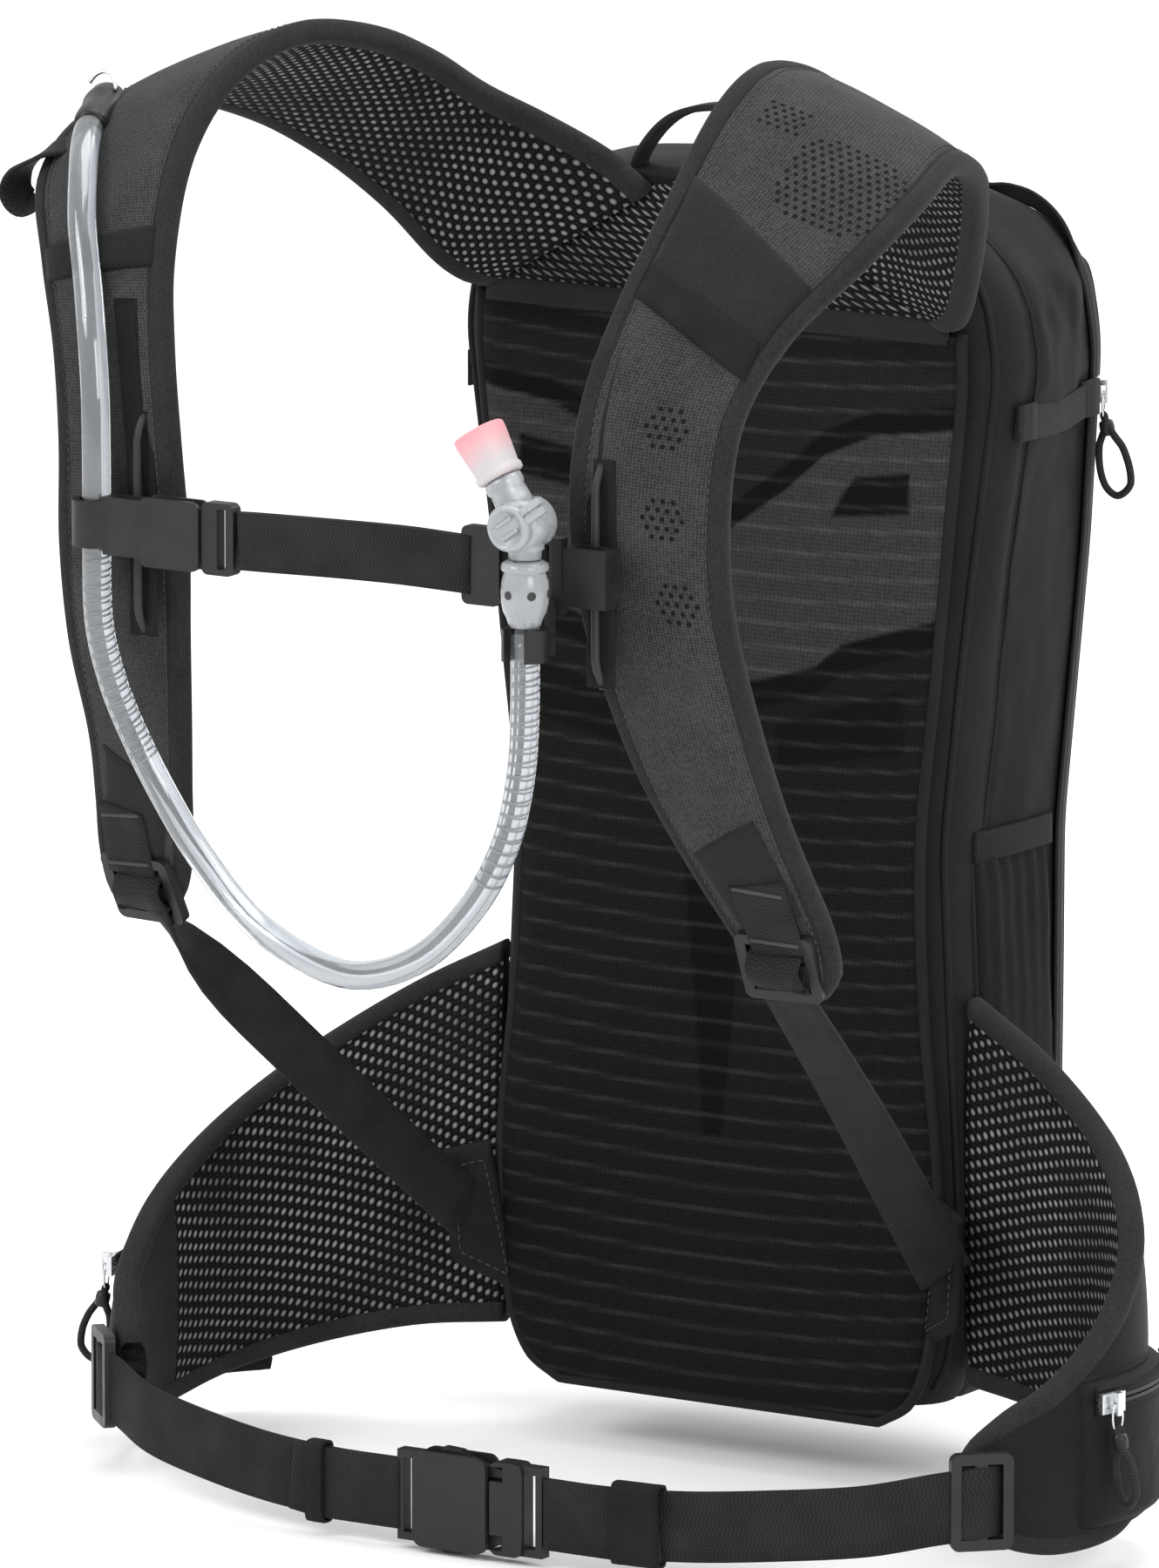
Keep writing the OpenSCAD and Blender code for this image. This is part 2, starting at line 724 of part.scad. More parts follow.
module hip_slider_right() {
    color("#c9cbcc") mirror([1, 0, 0]) on_hip_zip() zip_slider(level_zip);
}
module hip_pull_right() {
    color("#17181a") mirror([1, 0, 0]) on_hip_zip() zip_pull(36);
}

bag_body();
bag_cover();
main_zip();
front_pocket();
front_zip();
side_pockets();
compression_straps();
haul_loop();
anchor_tabs();
back_panel();
frame_sheet();
divider_sleeve();
reservoir();
reservoir_slide();
reservoir_hook();
hose_connector();
yoke();
shoulder_strap_left();
shoulder_strap_right();
strap_bands();
sternum_rails();
strap_locks();
adjuster_left();
adjuster_right();
hip_wing_left();
hip_wing_right();
hip_pockets();
hip_zips();
belt_lock_left();
belt_lock_right();
belt_webbing_left();
belt_webbing_right();
belt_keepers();
waist_socket();
waist_plug();
waist_prong_upper();
waist_prong_lower();
sternum_slider_left();
sternum_slider_right();
hose_clip();
sternum_webbing();
sternum_triglide();
sternum_socket();
sternum_plug();
hose_port();
hose();
hose_collar();
valve_body();
valve_lever();
bite_valve();
main_slider_left();
main_pull_left();
main_slider_right();
main_pull_right();
front_slider();
front_pull();
hip_slider_left();
hip_pull_left();
hip_slider_right();
hip_pull_right();
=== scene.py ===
"""Looks of a small hydration pack: cloth, webbing, hose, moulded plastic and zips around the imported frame.

Lengths are in millimetres until a mesh is made. +X is the wearer's left, -Y faces the wearer, +Z is up.
"""

import functools
import math

import bmesh
import bpy
import numpy as np
from mathutils import Matrix, Vector, noise


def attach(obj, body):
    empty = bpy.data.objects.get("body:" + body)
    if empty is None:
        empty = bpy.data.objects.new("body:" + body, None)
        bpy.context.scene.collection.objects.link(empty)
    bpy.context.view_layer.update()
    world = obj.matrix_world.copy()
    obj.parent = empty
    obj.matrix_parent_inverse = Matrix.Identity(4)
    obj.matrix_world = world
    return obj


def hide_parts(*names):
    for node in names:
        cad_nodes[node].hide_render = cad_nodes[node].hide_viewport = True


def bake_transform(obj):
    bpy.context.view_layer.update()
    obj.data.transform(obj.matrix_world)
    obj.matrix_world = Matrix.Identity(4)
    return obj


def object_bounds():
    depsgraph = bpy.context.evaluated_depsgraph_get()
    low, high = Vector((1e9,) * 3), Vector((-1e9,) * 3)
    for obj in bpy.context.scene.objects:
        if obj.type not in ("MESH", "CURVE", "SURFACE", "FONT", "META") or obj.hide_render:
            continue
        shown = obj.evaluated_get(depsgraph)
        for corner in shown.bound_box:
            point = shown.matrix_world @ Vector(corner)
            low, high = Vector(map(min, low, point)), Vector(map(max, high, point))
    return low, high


MM = 0.001
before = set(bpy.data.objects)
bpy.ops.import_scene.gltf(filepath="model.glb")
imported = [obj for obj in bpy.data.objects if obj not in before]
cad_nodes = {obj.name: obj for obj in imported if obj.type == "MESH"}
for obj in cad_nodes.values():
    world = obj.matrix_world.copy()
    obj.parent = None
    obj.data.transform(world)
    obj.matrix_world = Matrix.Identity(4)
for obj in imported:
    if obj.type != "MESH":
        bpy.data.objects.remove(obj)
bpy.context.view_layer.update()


# ---- camera ----

AZIMUTH, ELEVATION, DISTANCE = 32, 11, 6.0
LENS, SENSOR = 390, 36
TARGET = Vector((-0.0606, 0.0099, 0.2084))


def make_camera():
    azimuth, elevation = math.radians(AZIMUTH), math.radians(ELEVATION)
    back = Vector((math.sin(azimuth) * math.cos(elevation), -math.cos(azimuth) * math.cos(elevation),
                   math.sin(elevation)))
    camera = bpy.data.objects.new("camera", bpy.data.cameras.new("camera"))
    camera.data.lens = LENS
    camera.data.sensor_width = SENSOR
    camera.data.clip_end = 100
    camera.location = TARGET + back * DISTANCE
    camera.rotation_euler = back.to_track_quat("Z", "Y").to_euler()
    bpy.context.collection.objects.link(camera)
    bpy.context.scene.camera = camera


make_camera()


# ---- curves and meshes ----

def smooth(points, steps):
    """A smooth curve through the points, the same one as the frame's source uses."""
    p = np.asarray(points, float)
    q = np.vstack([2 * p[0] - p[1], p, 2 * p[-1] - p[-2]])
    out = []
    for i in range(len(p) - 1):
        a, b, c, d = q[i:i + 4]
        for k in range(steps):
            t = k / steps
            out.append(0.5 * (2 * b + (c - a) * t + (2 * a - 5 * b + 4 * c - d) * t * t
                              + (3 * b - a - 3 * c + d) * t ** 3))
    return np.array(out + [p[-1]])


def unit(v):
    v = np.asarray(v, float)
    return v / np.maximum(np.linalg.norm(v, axis=-1, keepdims=True), 1e-9)


def lengths(points):
    return np.r_[0, np.cumsum(np.linalg.norm(np.diff(points, axis=0), axis=1))]


def resample(points, count):
    s = lengths(points)
    at = np.linspace(0, s[-1], count)
    return np.stack([np.interp(at, s, points[:, k]) for k in range(3)], 1)


def add_object(name, mesh, materials):
    obj = bpy.data.objects.new(name, mesh)
    bpy.context.collection.objects.link(obj)
    for m in materials:
        mesh.materials.append(m)
    return obj


def skin(name, rings, materials, caps=True, choose=None, mirror=False):
    """Skins a row of closed rings of points. UV is the distance round the ring and along the row, in mm."""
    R = np.array(rings, float)
    if mirror:
        R[..., 0] *= -1
    rows, cols = R.shape[:2]
    centre = R.mean(axis=1)
    along = lengths(centre)
    loop = np.concatenate([R, R[:, :1]], 1)
    around = np.concatenate([np.zeros((rows, 1)),
                             np.cumsum(np.linalg.norm(np.diff(loop, axis=1), axis=2), 1)], 1)
    around -= around[:, -1:] / 2
    faces, uvs, picks = [], [], []
    for i in range(rows - 1):
        for j in range(cols):
            k = (j + 1) % cols
            faces.append((i * cols + j, i * cols + k, (i + 1) * cols + k, (i + 1) * cols + j))
            uvs.append(((around[i, j], along[i]), (around[i, j + 1], along[i]),
                        (around[i + 1, j + 1], along[i + 1]), (around[i + 1, j], along[i + 1])))
            picks.append(choose(i, j) if choose else 0)
    if caps:
        for i in (0, rows - 1):
            faces.append(tuple(range(i * cols, (i + 1) * cols)))
            uvs.append([(around[i, j], along[i]) for j in range(cols)])
            picks.append(choose(i, 0) if choose else 0)
    mesh = bpy.data.meshes.new(name)
    mesh.from_pydata([tuple(p) for p in R.reshape(-1, 3) * MM], [], faces)
    layer = mesh.uv_layers.new(name="UVMap")
    flat_uv = [c for f in uvs for c in f]
    layer.data.foreach_set("uv", [x for c in flat_uv for x in c])
    mesh.polygons.foreach_set("material_index", picks)
    mesh.polygons.foreach_set("use_smooth", [True] * len(faces))
    obj = add_object(name, mesh, materials)
    outward(obj)
    return obj


def outward(obj):
    bm = bmesh.new()
    bm.from_mesh(obj.data)
    bmesh.ops.recalc_face_normals(bm, faces=bm.faces)
    bm.to_mesh(obj.data)
    bm.free()


def join(name, objects):
    bpy.ops.object.select_all(action="DESELECT")
    for o in objects:
        o.select_set(True)
    bpy.context.view_layer.objects.active = objects[0]
    bpy.ops.object.join()
    objects[0].name = name
    return objects[0]


def apply_modifiers(obj):
    bpy.ops.object.select_all(action="DESELECT")
    obj.select_set(True)
    bpy.context.view_layer.objects.active = obj
    for m in list(obj.modifiers):
        bpy.ops.object.modifier_apply(modifier=m.name)
    return obj


def soften(obj, width, segments=2, angle=35):
    """Rounds an object's sharp edges."""
    m = obj.modifiers.new("edges", "BEVEL")
    m.width = width * MM
    m.segments = segments
    m.limit_method = "ANGLE"
    m.angle_limit = math.radians(angle)
    m.harden_normals = False
    return apply_modifiers(obj)


def shade_auto(obj, angle=40):
    bpy.ops.object.select_all(action="DESELECT")
    obj.select_set(True)
    bpy.context.view_layer.objects.active = obj
    bpy.ops.object.shade_smooth_by_angle(angle=math.radians(angle))


def frames_along(points, up):
    """Tangents, and two directions square to them, along a curve."""
    t = unit(np.gradient(points, axis=0))
    u = []
    v = np.asarray(up, float)
    for d in t:
        v = unit(v - d * np.dot(v, d))
        u.append(v)
    u = np.array(u)
    return t, u, np.cross(t, u)


def tube(name, points, radius, material, sides=12, up=(1, 0, 0.3)):
    p = np.asarray(points, float)
    _, u, w = frames_along(p, up)
    a = np.linspace(0, 2 * np.pi, sides, endpoint=False)
    r = np.broadcast_to(np.asarray(radius, float), (len(p),))
    rings = p[:, None] + r[:, None, None] * (np.cos(a)[None, :, None] * u[:, None] + np.sin(a)[None, :, None]
                                             * w[:, None])
    return skin(name, rings, [material])


def ribbon(name, points, across, width, thick, material, mirror=False, edge=0.35):
    """Flat webbing with slightly rounded selvedges. across holds the width's direction at each point."""
    p = np.asarray(points, float)
    t = unit(np.gradient(p, axis=0))
    a = unit(across)
    a = unit(a - t * np.sum(a * t, axis=1, keepdims=True))
    n = np.cross(t, a)
    h, w = thick / 2, width / 2
    outline = [(-w, -h * 0.4), (-w + edge, -h), (-w * 0.5, -h), (0, -h), (w * 0.5, -h), (w - edge, -h),
               (w, -h * 0.4),
               (w, h * 0.4), (w - edge, h), (w * 0.5, h), (0, h), (-w * 0.5, h), (-w + edge, h),
               (-w, h * 0.4)]
    rings = [[p[i] + a[i] * x + n[i] * y for x, y in outline] for i in range(len(p))]
    return skin(name, rings, [material], mirror=mirror)


def lathe(name, profile, material, place, sides=48):
    """Turns a profile of (radius, height) about a matrix's z axis."""
    a = np.linspace(0, 2 * np.pi, sides, endpoint=False)
    rings = []
    for r, z in profile:
        ring = [(r * math.cos(q), r * math.sin(q), z) for q in a]
        rings.append([tuple(place @ Vector(v)) for v in ring])
    return skin(name, rings, [material])


# ---- materials ----

class Shader:
    """Small helper around one Principled material."""

    def __init__(self, name, color, rough, sheen=0.0, metal=0.0, specular=0.08):
        self.material = bpy.data.materials.new(name)
        self.material.use_nodes = True
        self.tree = self.material.node_tree
        self.bsdf = self.tree.nodes["Principled BSDF"]
        self.set(Roughness=rough, Metallic=metal)
        self.bsdf.inputs["Base Color"].default_value = (*color, 1)
        self.bsdf.inputs["Specular IOR Level"].default_value = specular
        if sheen:
            self.bsdf.inputs["Sheen Weight"].default_value = sheen
            self.bsdf.inputs["Sheen Roughness"].default_value = 0.4

    def set(self, **values):
        for k, v in values.items():
            self.bsdf.inputs[k.replace("_", " ")].default_value = v

    def node(self, kind, **props):
        n = self.tree.nodes.new(kind)
        for k, v in props.items():
            setattr(n, k, v)
        return n

    def link(self, a, b):
        self.tree.links.new(a, b)

    def math(self, op, a, b=0.0, c=None):
        n = self.node("ShaderNodeMath", operation=op)
        for k, v in enumerate((a, b) if c is None else (a, b, c)):
            if isinstance(v, (int, float)):
                n.inputs[k].default_value = v
            else:
                self.link(v, n.inputs[k])
        return n.outputs[0]

    def uv(self):
        n = self.node("ShaderNodeUVMap", uv_map="UVMap")
        s = self.node("ShaderNodeSeparateXYZ")
        self.link(n.outputs[0], s.inputs[0])
        return s.outputs[0], s.outputs[1]

    def place(self):
        """Object coordinates in mm."""
        n = self.node("ShaderNodeTexCoord")
        m = self.node("ShaderNodeVectorMath", operation="SCALE")
        m.inputs["Scale"].default_value = 1000
        self.link(n.outputs["Object"], m.inputs[0])
        return m.outputs[0]

    def noise(self, scale, detail=3.0, rough=0.5, vector=None):
        n = self.node("ShaderNodeTexNoise")
        n.inputs["Scale"].default_value = scale
        n.inputs["Detail"].default_value = detail
        n.inputs["Roughness"].default_value = rough
        self.link(vector or self.place(), n.inputs["Vector"])
        return n.outputs["Fac"]

    def range(self, value, a, b, c, d):
        n = self.node("ShaderNodeMapRange")
        self.link(value, n.inputs[0])
        for k, v in zip((1, 2, 3, 4), (a, b, c, d)):
            n.inputs[k].default_value = v
        return n.outputs[0]

    def mix(self, factor, a, b):
        n = self.node("ShaderNodeMix", data_type="RGBA")
        for socket, v in ((n.inputs["Factor"], factor), (n.inputs["A"], a), (n.inputs["B"], b)):
            if hasattr(v, "is_linked"):
                self.link(v, socket)
            else:
                socket.default_value = v if isinstance(v, (int, float)) else (*v, 1)
        return n.outputs["Result"]

    def bump(self, height, strength=0.5, distance=0.3):
        n = self.node("ShaderNodeBump")
        n.inputs["Strength"].default_value = strength
        n.inputs["Distance"].default_value = distance * MM
        self.link(height, n.inputs["Height"])
        self.link(n.outputs[0], self.bsdf.inputs["Normal"])

    def color(self, socket):
        self.link(socket, self.bsdf.inputs["Base Color"])

    def rough(self, socket):
        self.link(socket, self.bsdf.inputs["Roughness"])

    def wave(self, value, pitch):
        """A smooth ridge every pitch mm: 0 in the groove, 1 on the crest."""
        s = self.math("SINE", self.math("MULTIPLY", value, 2 * math.pi / pitch))
        return self.math("MULTIPLY_ADD", s, 0.5, 0.5)


def woven(name, color, light, rough=0.75, pitch=0.9, sheen=0.0, wear=0.25):
    """Plain woven nylon, in object space."""
    s = Shader(name, color, rough, sheen)
    v = s.place()
    fine = s.noise(1 / pitch, 2, 0.6, v)
    broad = s.noise(0.02, 4, 0.55, v)
    both = s.math("MULTIPLY_ADD", fine, 0.55, s.math("MULTIPLY", broad, 0.45 + wear))
    s.color(s.mix(s.range(both, 0.3, 0.85, 0, 1), color, light))
    s.rough(s.range(broad, 0.3, 0.7, rough - 0.06, min(1, rough + 0.06)))
    s.bump(fine, 0.35, 0.25)
    return s.material


def knit(name, color, light, pitch=1.3):
    """Heathered knit face: fine wales with light flecks."""
    s = Shader(name, color, 0.88, 0.04)
    u, v = s.uv()
    wales = s.math("MULTIPLY", s.wave(u, pitch), s.wave(v, pitch * 0.8))
    fleck = s.noise(0.9, 3, 0.7)
    cloudy = s.noise(0.05, 3, 0.6)
    grain = s.math("MULTIPLY_ADD", wales, 0.35, s.math("MULTIPLY", fleck, 0.75))
    s.color(s.mix(s.range(s.math("MULTIPLY_ADD", cloudy, 0.3, grain), 0.35, 0.95, 0, 1), color, light))
    s.bump(grain, 0.5, 0.35)
    return s.material


def hex_spots(s, u, v, pitch_u, pitch_v):
    """Distance, in mm, to the nearest spot of a lattice whose rows are shifted by half a pitch."""
    found = None
    for shift in (0.0, 0.5):
        parts = []
        for value, pitch in ((u, pitch_u), (v, pitch_v)):
            f = s.math("FRACT", s.math("ADD", s.math("DIVIDE", value, pitch), 100 + shift))
            parts.append(s.math("MULTIPLY", s.math("SUBTRACT", f, 0.5), pitch))
        d = s.math("SQRT", s.math("ADD", s.math("MULTIPLY", parts[0], parts[0]),
                                  s.math("MULTIPLY", parts[1], parts[1])))
        found = d if found is None else s.math("MINIMUM", found, d)
    return found


def spacer_mesh(name, base, dot, pitch_u=4.7, pitch_v=6.2, radius=0.95):
    """Open three-dimensional mesh: cells painted near-black as painted shade in their hollows, with a pale spot
    of the backing at the bottom of each.
    """
    s = Shader(name, base, 0.8)
    u, v = s.uv()
    wobble = s.noise(0.12, 2, 0.5)
    u2 = s.math("ADD", u, s.math("MULTIPLY", s.math("SUBTRACT", wobble, 0.5), 1.6))
    d = hex_spots(s, u2, v, pitch_u, pitch_v)
    spot = s.range(d, radius * 0.45, radius * 1.35, 1, 0)
    rim = s.range(d, radius * 1.3, radius * 2.1, 0, 1)
    uneven = s.range(s.noise(0.035, 2, 0.5), 0.35, 0.65, 0.45, 1.0)
    # Painted shade: each cell's hollow goes near-black round the pale spot.
    s.color(s.mix(s.math("MULTIPLY", spot, uneven), s.mix(rim, (0.004, 0.004, 0.004), base), dot))
    s.bump(rim, 0.9, 1.0)
    return s.material


def webbing_cloth(name, color, light, pitch=1.5):
    """Woven ribbon: fine ribs across, a herringbone break along the middle and firmer selvedges."""
    s = Shader(name, color, 0.65, 0.02)
    u, v = s.uv()
    ribs = s.wave(s.math("ADD", v, s.math("MULTIPLY", s.math("PINGPONG", u, 2.0), 0.5)), pitch)
    cords = s.wave(u, 1.1)
    grain = s.math("MULTIPLY_ADD", ribs, 0.6, s.math("MULTIPLY", cords, 0.4))
    cloudy = s.noise(0.06, 3, 0.5)
    s.color(s.mix(s.range(s.math("MULTIPLY_ADD", grain, 0.5, s.math("MULTIPLY", cloudy, 0.6)), 0.25, 0.9, 0,
                          1),
                  color, light))
    s.bump(grain, 0.6, 0.3)
    return s.material


def moulded(name, color, rough=0.42):
    s = Shader(name, color, rough, specular=0.3)
    fine = s.noise(2.2, 2, 0.5)
    broad = s.noise(0.08, 3, 0.5)
    s.rough(s.range(broad, 0.3, 0.7, rough - 0.08, rough + 0.1))
    s.color(s.mix(s.range(broad, 0.3, 0.7, 0, 1), color, tuple(c * 1.6 for c in color)))
    s.bump(fine, 0.18, 0.12)
    return s.material


def clear_plastic(name, color, rough, through, frost=0.35):
    s = Shader(name, color, rough, specular=0.5)
    s.set(Transmission_Weight=through, IOR=1.49)
    s.bsdf.inputs["Coat Weight"].default_value = 0.3
    cloud = s.noise(0.09, 3, 0.5)
    s.rough(s.range(cloud, 0.3, 0.7, rough, min(1, rough + 0.12)))
    s.color(s.mix(s.range(cloud, 0.25, 0.75, 0, frost), color, (0.93, 0.94, 0.95)))
    s.bump(s.noise(0.5, 2, 0.5), 0.08, 0.2)
    return s.material


def metal(name, color, rough=0.28):
    s = Shader(name, color, rough, metal=1.0)
    scratches = s.noise(1.2, 4, 0.6)
    s.rough(s.range(scratches, 0.3, 0.7, rough - 0.1, rough + 0.15))
    s.bump(scratches, 0.1, 0.05)
    return s.material


CLOTH = woven("shell_nylon", (0.0028, 0.0032, 0.0031), (0.0100, 0.0112, 0.0108), 0.62)
CLOTH_FRONT = woven("front_nylon", (0.0035, 0.0038, 0.0038), (0.0125, 0.0135, 0.0135), 0.6)
RIPSTOP = woven("lining_nylon", (0.02, 0.021, 0.024), (0.05, 0.05, 0.055), 0.55)
KNIT = knit("strap_knit", (0.010, 0.0101, 0.0101), (0.062, 0.063, 0.063))
SOFT = knit("smooth_stretch", (0.011, 0.0115, 0.0115), (0.023, 0.024, 0.024), 0.7)
BINDING = knit("binding_tape", (0.009, 0.0095, 0.0095), (0.031, 0.0325, 0.032), 0.9)
MESH3D = spacer_mesh("spacer_mesh", (0.009, 0.009, 0.009), (0.24, 0.245, 0.245))
STRETCH = woven("stretch_mesh", (0.004, 0.0045, 0.0045), (0.013, 0.0135, 0.0135), 0.8, 1.6)
WEB = webbing_cloth("webbing_ribbon", (0.007, 0.0075, 0.0075), (0.024, 0.0255, 0.025))
ELASTIC = webbing_cloth("elastic_ribbon", (0.006, 0.0063, 0.0063), (0.016, 0.017, 0.017), 1.1)
TAPE = webbing_cloth("zip_tape", (0.006, 0.0065, 0.007), (0.016, 0.016, 0.017), 0.9)
PLASTIC = moulded("acetal_black", (0.009, 0.0092, 0.0095))
PIPING = moulded("coated_cord", (0.014, 0.015, 0.015), 0.5)
CORD = webbing_cloth("braided_cord", (0.010, 0.010, 0.011), (0.03, 0.03, 0.031), 1.2)
METAL = metal("plated_metal", (0.62, 0.63, 0.65))
TUBE = clear_plastic("clear_tube", (0.86, 0.88, 0.90), 0.03, 1.0, 0.0)
CLEAR = clear_plastic("frosted_plastic", (0.50, 0.52, 0.54), 0.22, 0.55, 0.12)
RIM = woven("seam_binding", (0.006, 0.0065, 0.007), (0.016, 0.017, 0.017), 0.7)
# Painted shade for the insides of the strap's punched holes.
HOLE_SHADE = woven("painted_hole_shade", (0.004, 0.004, 0.004), (0.010, 0.010, 0.010), 0.9)


def settle(obj, body, replaces=()):
    """Puts a finished piece on its body."""
    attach(obj, body)
    if replaces:
        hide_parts(*replaces)
    return obj


# ---- hose, with its collar, valve and mouthpiece ----

HOSE_ROUTE = [(-153, -153, 463), (-147, -169, 460.5), (-140.5, -182.5, 455.5), (-134, -194, 446.5),
              (-127, -205, 432.5), (-119, -214, 415.5), (-112, -222, 398), (-108, -226, 378),
              (-107, -227, 356),
              (-107, -227, 328), (-107, -226, 300), (-104, -222, 278), (-98, -217, 258), (-88, -214, 238),
              (-72, -215, 218), (-46, -220, 198), (-6, -230, 188), (28, -238, 197), (54, -244, 218),
              (70, -247, 242), (77, -248, 266), (79, -248, 290), (79, -248, 322)]
HOSE_DIAMETER = 10.0
VALVE = Vector((79, -248, 354))
VALVE_LEAN = math.radians(32)


def make_hose():
    path = smooth(HOSE_ROUTE, 6)
    curve = bpy.data.curves.new("drinking_hose", "CURVE")
    curve.dimensions = "3D"
    curve.bevel_depth = HOSE_DIAMETER / 2 * MM
    curve.bevel_resolution = 8
    curve.use_fill_caps = True
    line = curve.splines.new("POLY")
    line.points.add(len(path) - 1)
    for point, q in zip(line.points, path):
        point.co = (*(q * MM), 1)
    curve.materials.append(TUBE)
    hose = bpy.data.objects.new("drinking_hose", curve)
    bpy.context.collection.objects.link(hose)
    line.use_smooth = True
    bore = tube("hose_bore", path[1:-1], 3.1, BORE, 16)
    coil = []
    for start, end in ((0.30, 0.47), (0.83, 0.985)):
        run = resample(path[1:-1], 1400)[int(1400 * start):int(1400 * end)]
        t, u, w = frames_along(run, (1, 0, 0.3))
        a = lengths(run)[:, None] / 4.6 * 2 * math.pi
        coil.append(tube("turns", run + 4.0 * (np.cos(a) * u + np.sin(a) * w), 0.42, COIL, 6))
    coil = settle(join("hose_spiral", coil), "pack")
    settle(hose, "pack", ["hose"])
    settle(bore, "pack")
    return hose, bore, coil


def valve_frame(lean=0.0):
    return Matrix.Translation(VALVE) @ Matrix.Rotation(-lean, 4, "Y")


def make_collar():
    base = Matrix.Translation((79, -248, 322))
    profile = [(5.2, -3), (5.6, -2), (6.2, 0), (7.4, 2.4), (8.0, 5.4), (8.2, 9), (7.9, 12.6), (7.2, 15),
               (7.0, 15.8),
               (7.9, 16.2), (8.2, 17.2), (7.8, 18.6), (6.4, 19.4), (5.2, 19.6)]
    collar = lathe("hose_collar_ring", profile, CLEAR, base)
    # The dark discs in the collar's six holes are painted shade.
    hole_shade_discs = []
    for k in range(6):
        a = math.radians(60 * k + 18)
        spot = base @ Vector((8.0 * math.cos(a), 8.0 * math.sin(a), 8.6))
        turn = Matrix.Rotation(a, 4, "Z") @ Matrix.Rotation(math.pi / 2, 4, "Y")
        hole_shade_discs.append(lathe(f"mark_{k}", [(0.05, -0.9), (1.5, -0.9), (1.5, 0.3), (0.05, 0.5)], COLLAR_HOLE_SHADE,
                           Matrix.Translation(spot) @ turn, 16))
    holes = join("collar_holes", hole_shade_discs)
    settle(collar, "pack", ["hose_collar"])
    settle(holes, "pack")
    return collar, holes


def make_valve():
    stem = lathe("stem", [(4.6, -12), (5.6, -11.4), (5.8, -9), (6.6, -8.4), (6.6, -6.8), (5.8, -6),
                          (5.6, -2)], CLEAR,
                 valve_frame())
    drum = Matrix.Translation(VALVE) @ Matrix.Rotation(math.pi / 2, 4, "X")
    body = lathe("drum", [(0.1, -7.5), (7.6, -7.5), (8.6, -6.6), (8.6, 6.6), (7.8, 7.3), (0.1, 7.3)], CLEAR,
                 drum)
    barrel = lathe("barrel", [(5.4, 3), (6.6, 6), (6.4, 9), (6.1, 13), (6.8, 14), (6.8, 16.4), (6.0, 17),
                              (0.1, 17)],
                   CLEAR, valve_frame(VALVE_LEAN))
    return settle(join("valve_elbow", [stem, body, barrel]), "valve", ["valve_body"])


def make_lever():
    drum = Matrix.Translation(VALVE) @ Matrix.Rotation(math.pi / 2, 4, "X")
    dial = lathe("dial", [(0.1, 8.0), (7.4, 8.0), (7.9, 8.5), (7.9, 11.2), (7.3, 11.9), (6.2, 11.9),
                          (5.9, 11.0),
                          (0.1, 11.0)], CLEAR, drum)
    parts = [dial]
    for shift in (-2.3, 2.3):
        parts.append(box_piece("rib", (7.6, 1.3, 1.0), (0, shift, 11.4), drum @ Matrix.Rotation(0.6, 4, "Z"),
                               CLEAR))
    handle = Matrix.Translation(VALVE) @ Matrix.Rotation(math.radians(55), 4, "Y")
    for shift in (-1.7, 1.7):
        parts.append(box_piece("finger", (2.6, 3.6, 8.5), (shift, -9.9, 12.0), handle, CLEAR))
    parts.append(box_piece("web", (3.4, 2.0, 7.0), (0, -9.9, 11.0), handle, CLEAR))
    lever = join("shutoff_handle", parts)
    return settle(lever, "lever", ["valve_lever"])


def box_piece(name, size, centre, place, material, round_by=0.45):
    bpy.ops.mesh.primitive_cube_add(size=1)
    obj = bpy.context.object
    obj.name = name
    corners = place @ Matrix.Translation(centre) @ Matrix.Diagonal((*size, 1))
    obj.data.transform(Matrix.Diagonal((MM, MM, MM, 1)) @ corners)
    obj.data.materials.append(material)
    soften(obj, round_by)
    shade_auto(obj)
    return obj


def make_mouthpiece():
    base = valve_frame(VALVE_LEAN)
    rows = [(0.1, 17.4, 1), (6.9, 17.4, 1), (7.8, 18.0, 1), (7.9, 19.8, 1), (7.3, 20.6, 1), (7.4, 21.4, 1),
            (7.7, 24, 1), (8.1, 27, 0.98), (8.5, 30, 0.95), (8.9, 33, 0.92), (8.8, 34.8, 0.9),
            (8.2, 35.4, 0.88),
            (0.1, 35.4, 0.88)]
    rings = []
    for r, z, squash in rows:
        ring = []
        for a in np.linspace(0, 2 * np.pi, 48, endpoint=False):
            q = Vector((r * math.copysign(abs(math.cos(a)) ** 0.8, math.cos(a)),
                        r * squash * math.copysign(abs(math.sin(a)) ** 0.8, math.sin(a)), z))
            ring.append(tuple(base @ q))
        rings.append(ring)
    cover = skin("bite_cover", rings, [SILICONE])
    slit = box_piece("slit", (11, 0.9, 0.6), (0, 0, 35.4), base, SLIT, 0.2)
    return settle(join("mouthpiece_cover", [cover, slit]), "mouthpiece", ["bite_valve"])


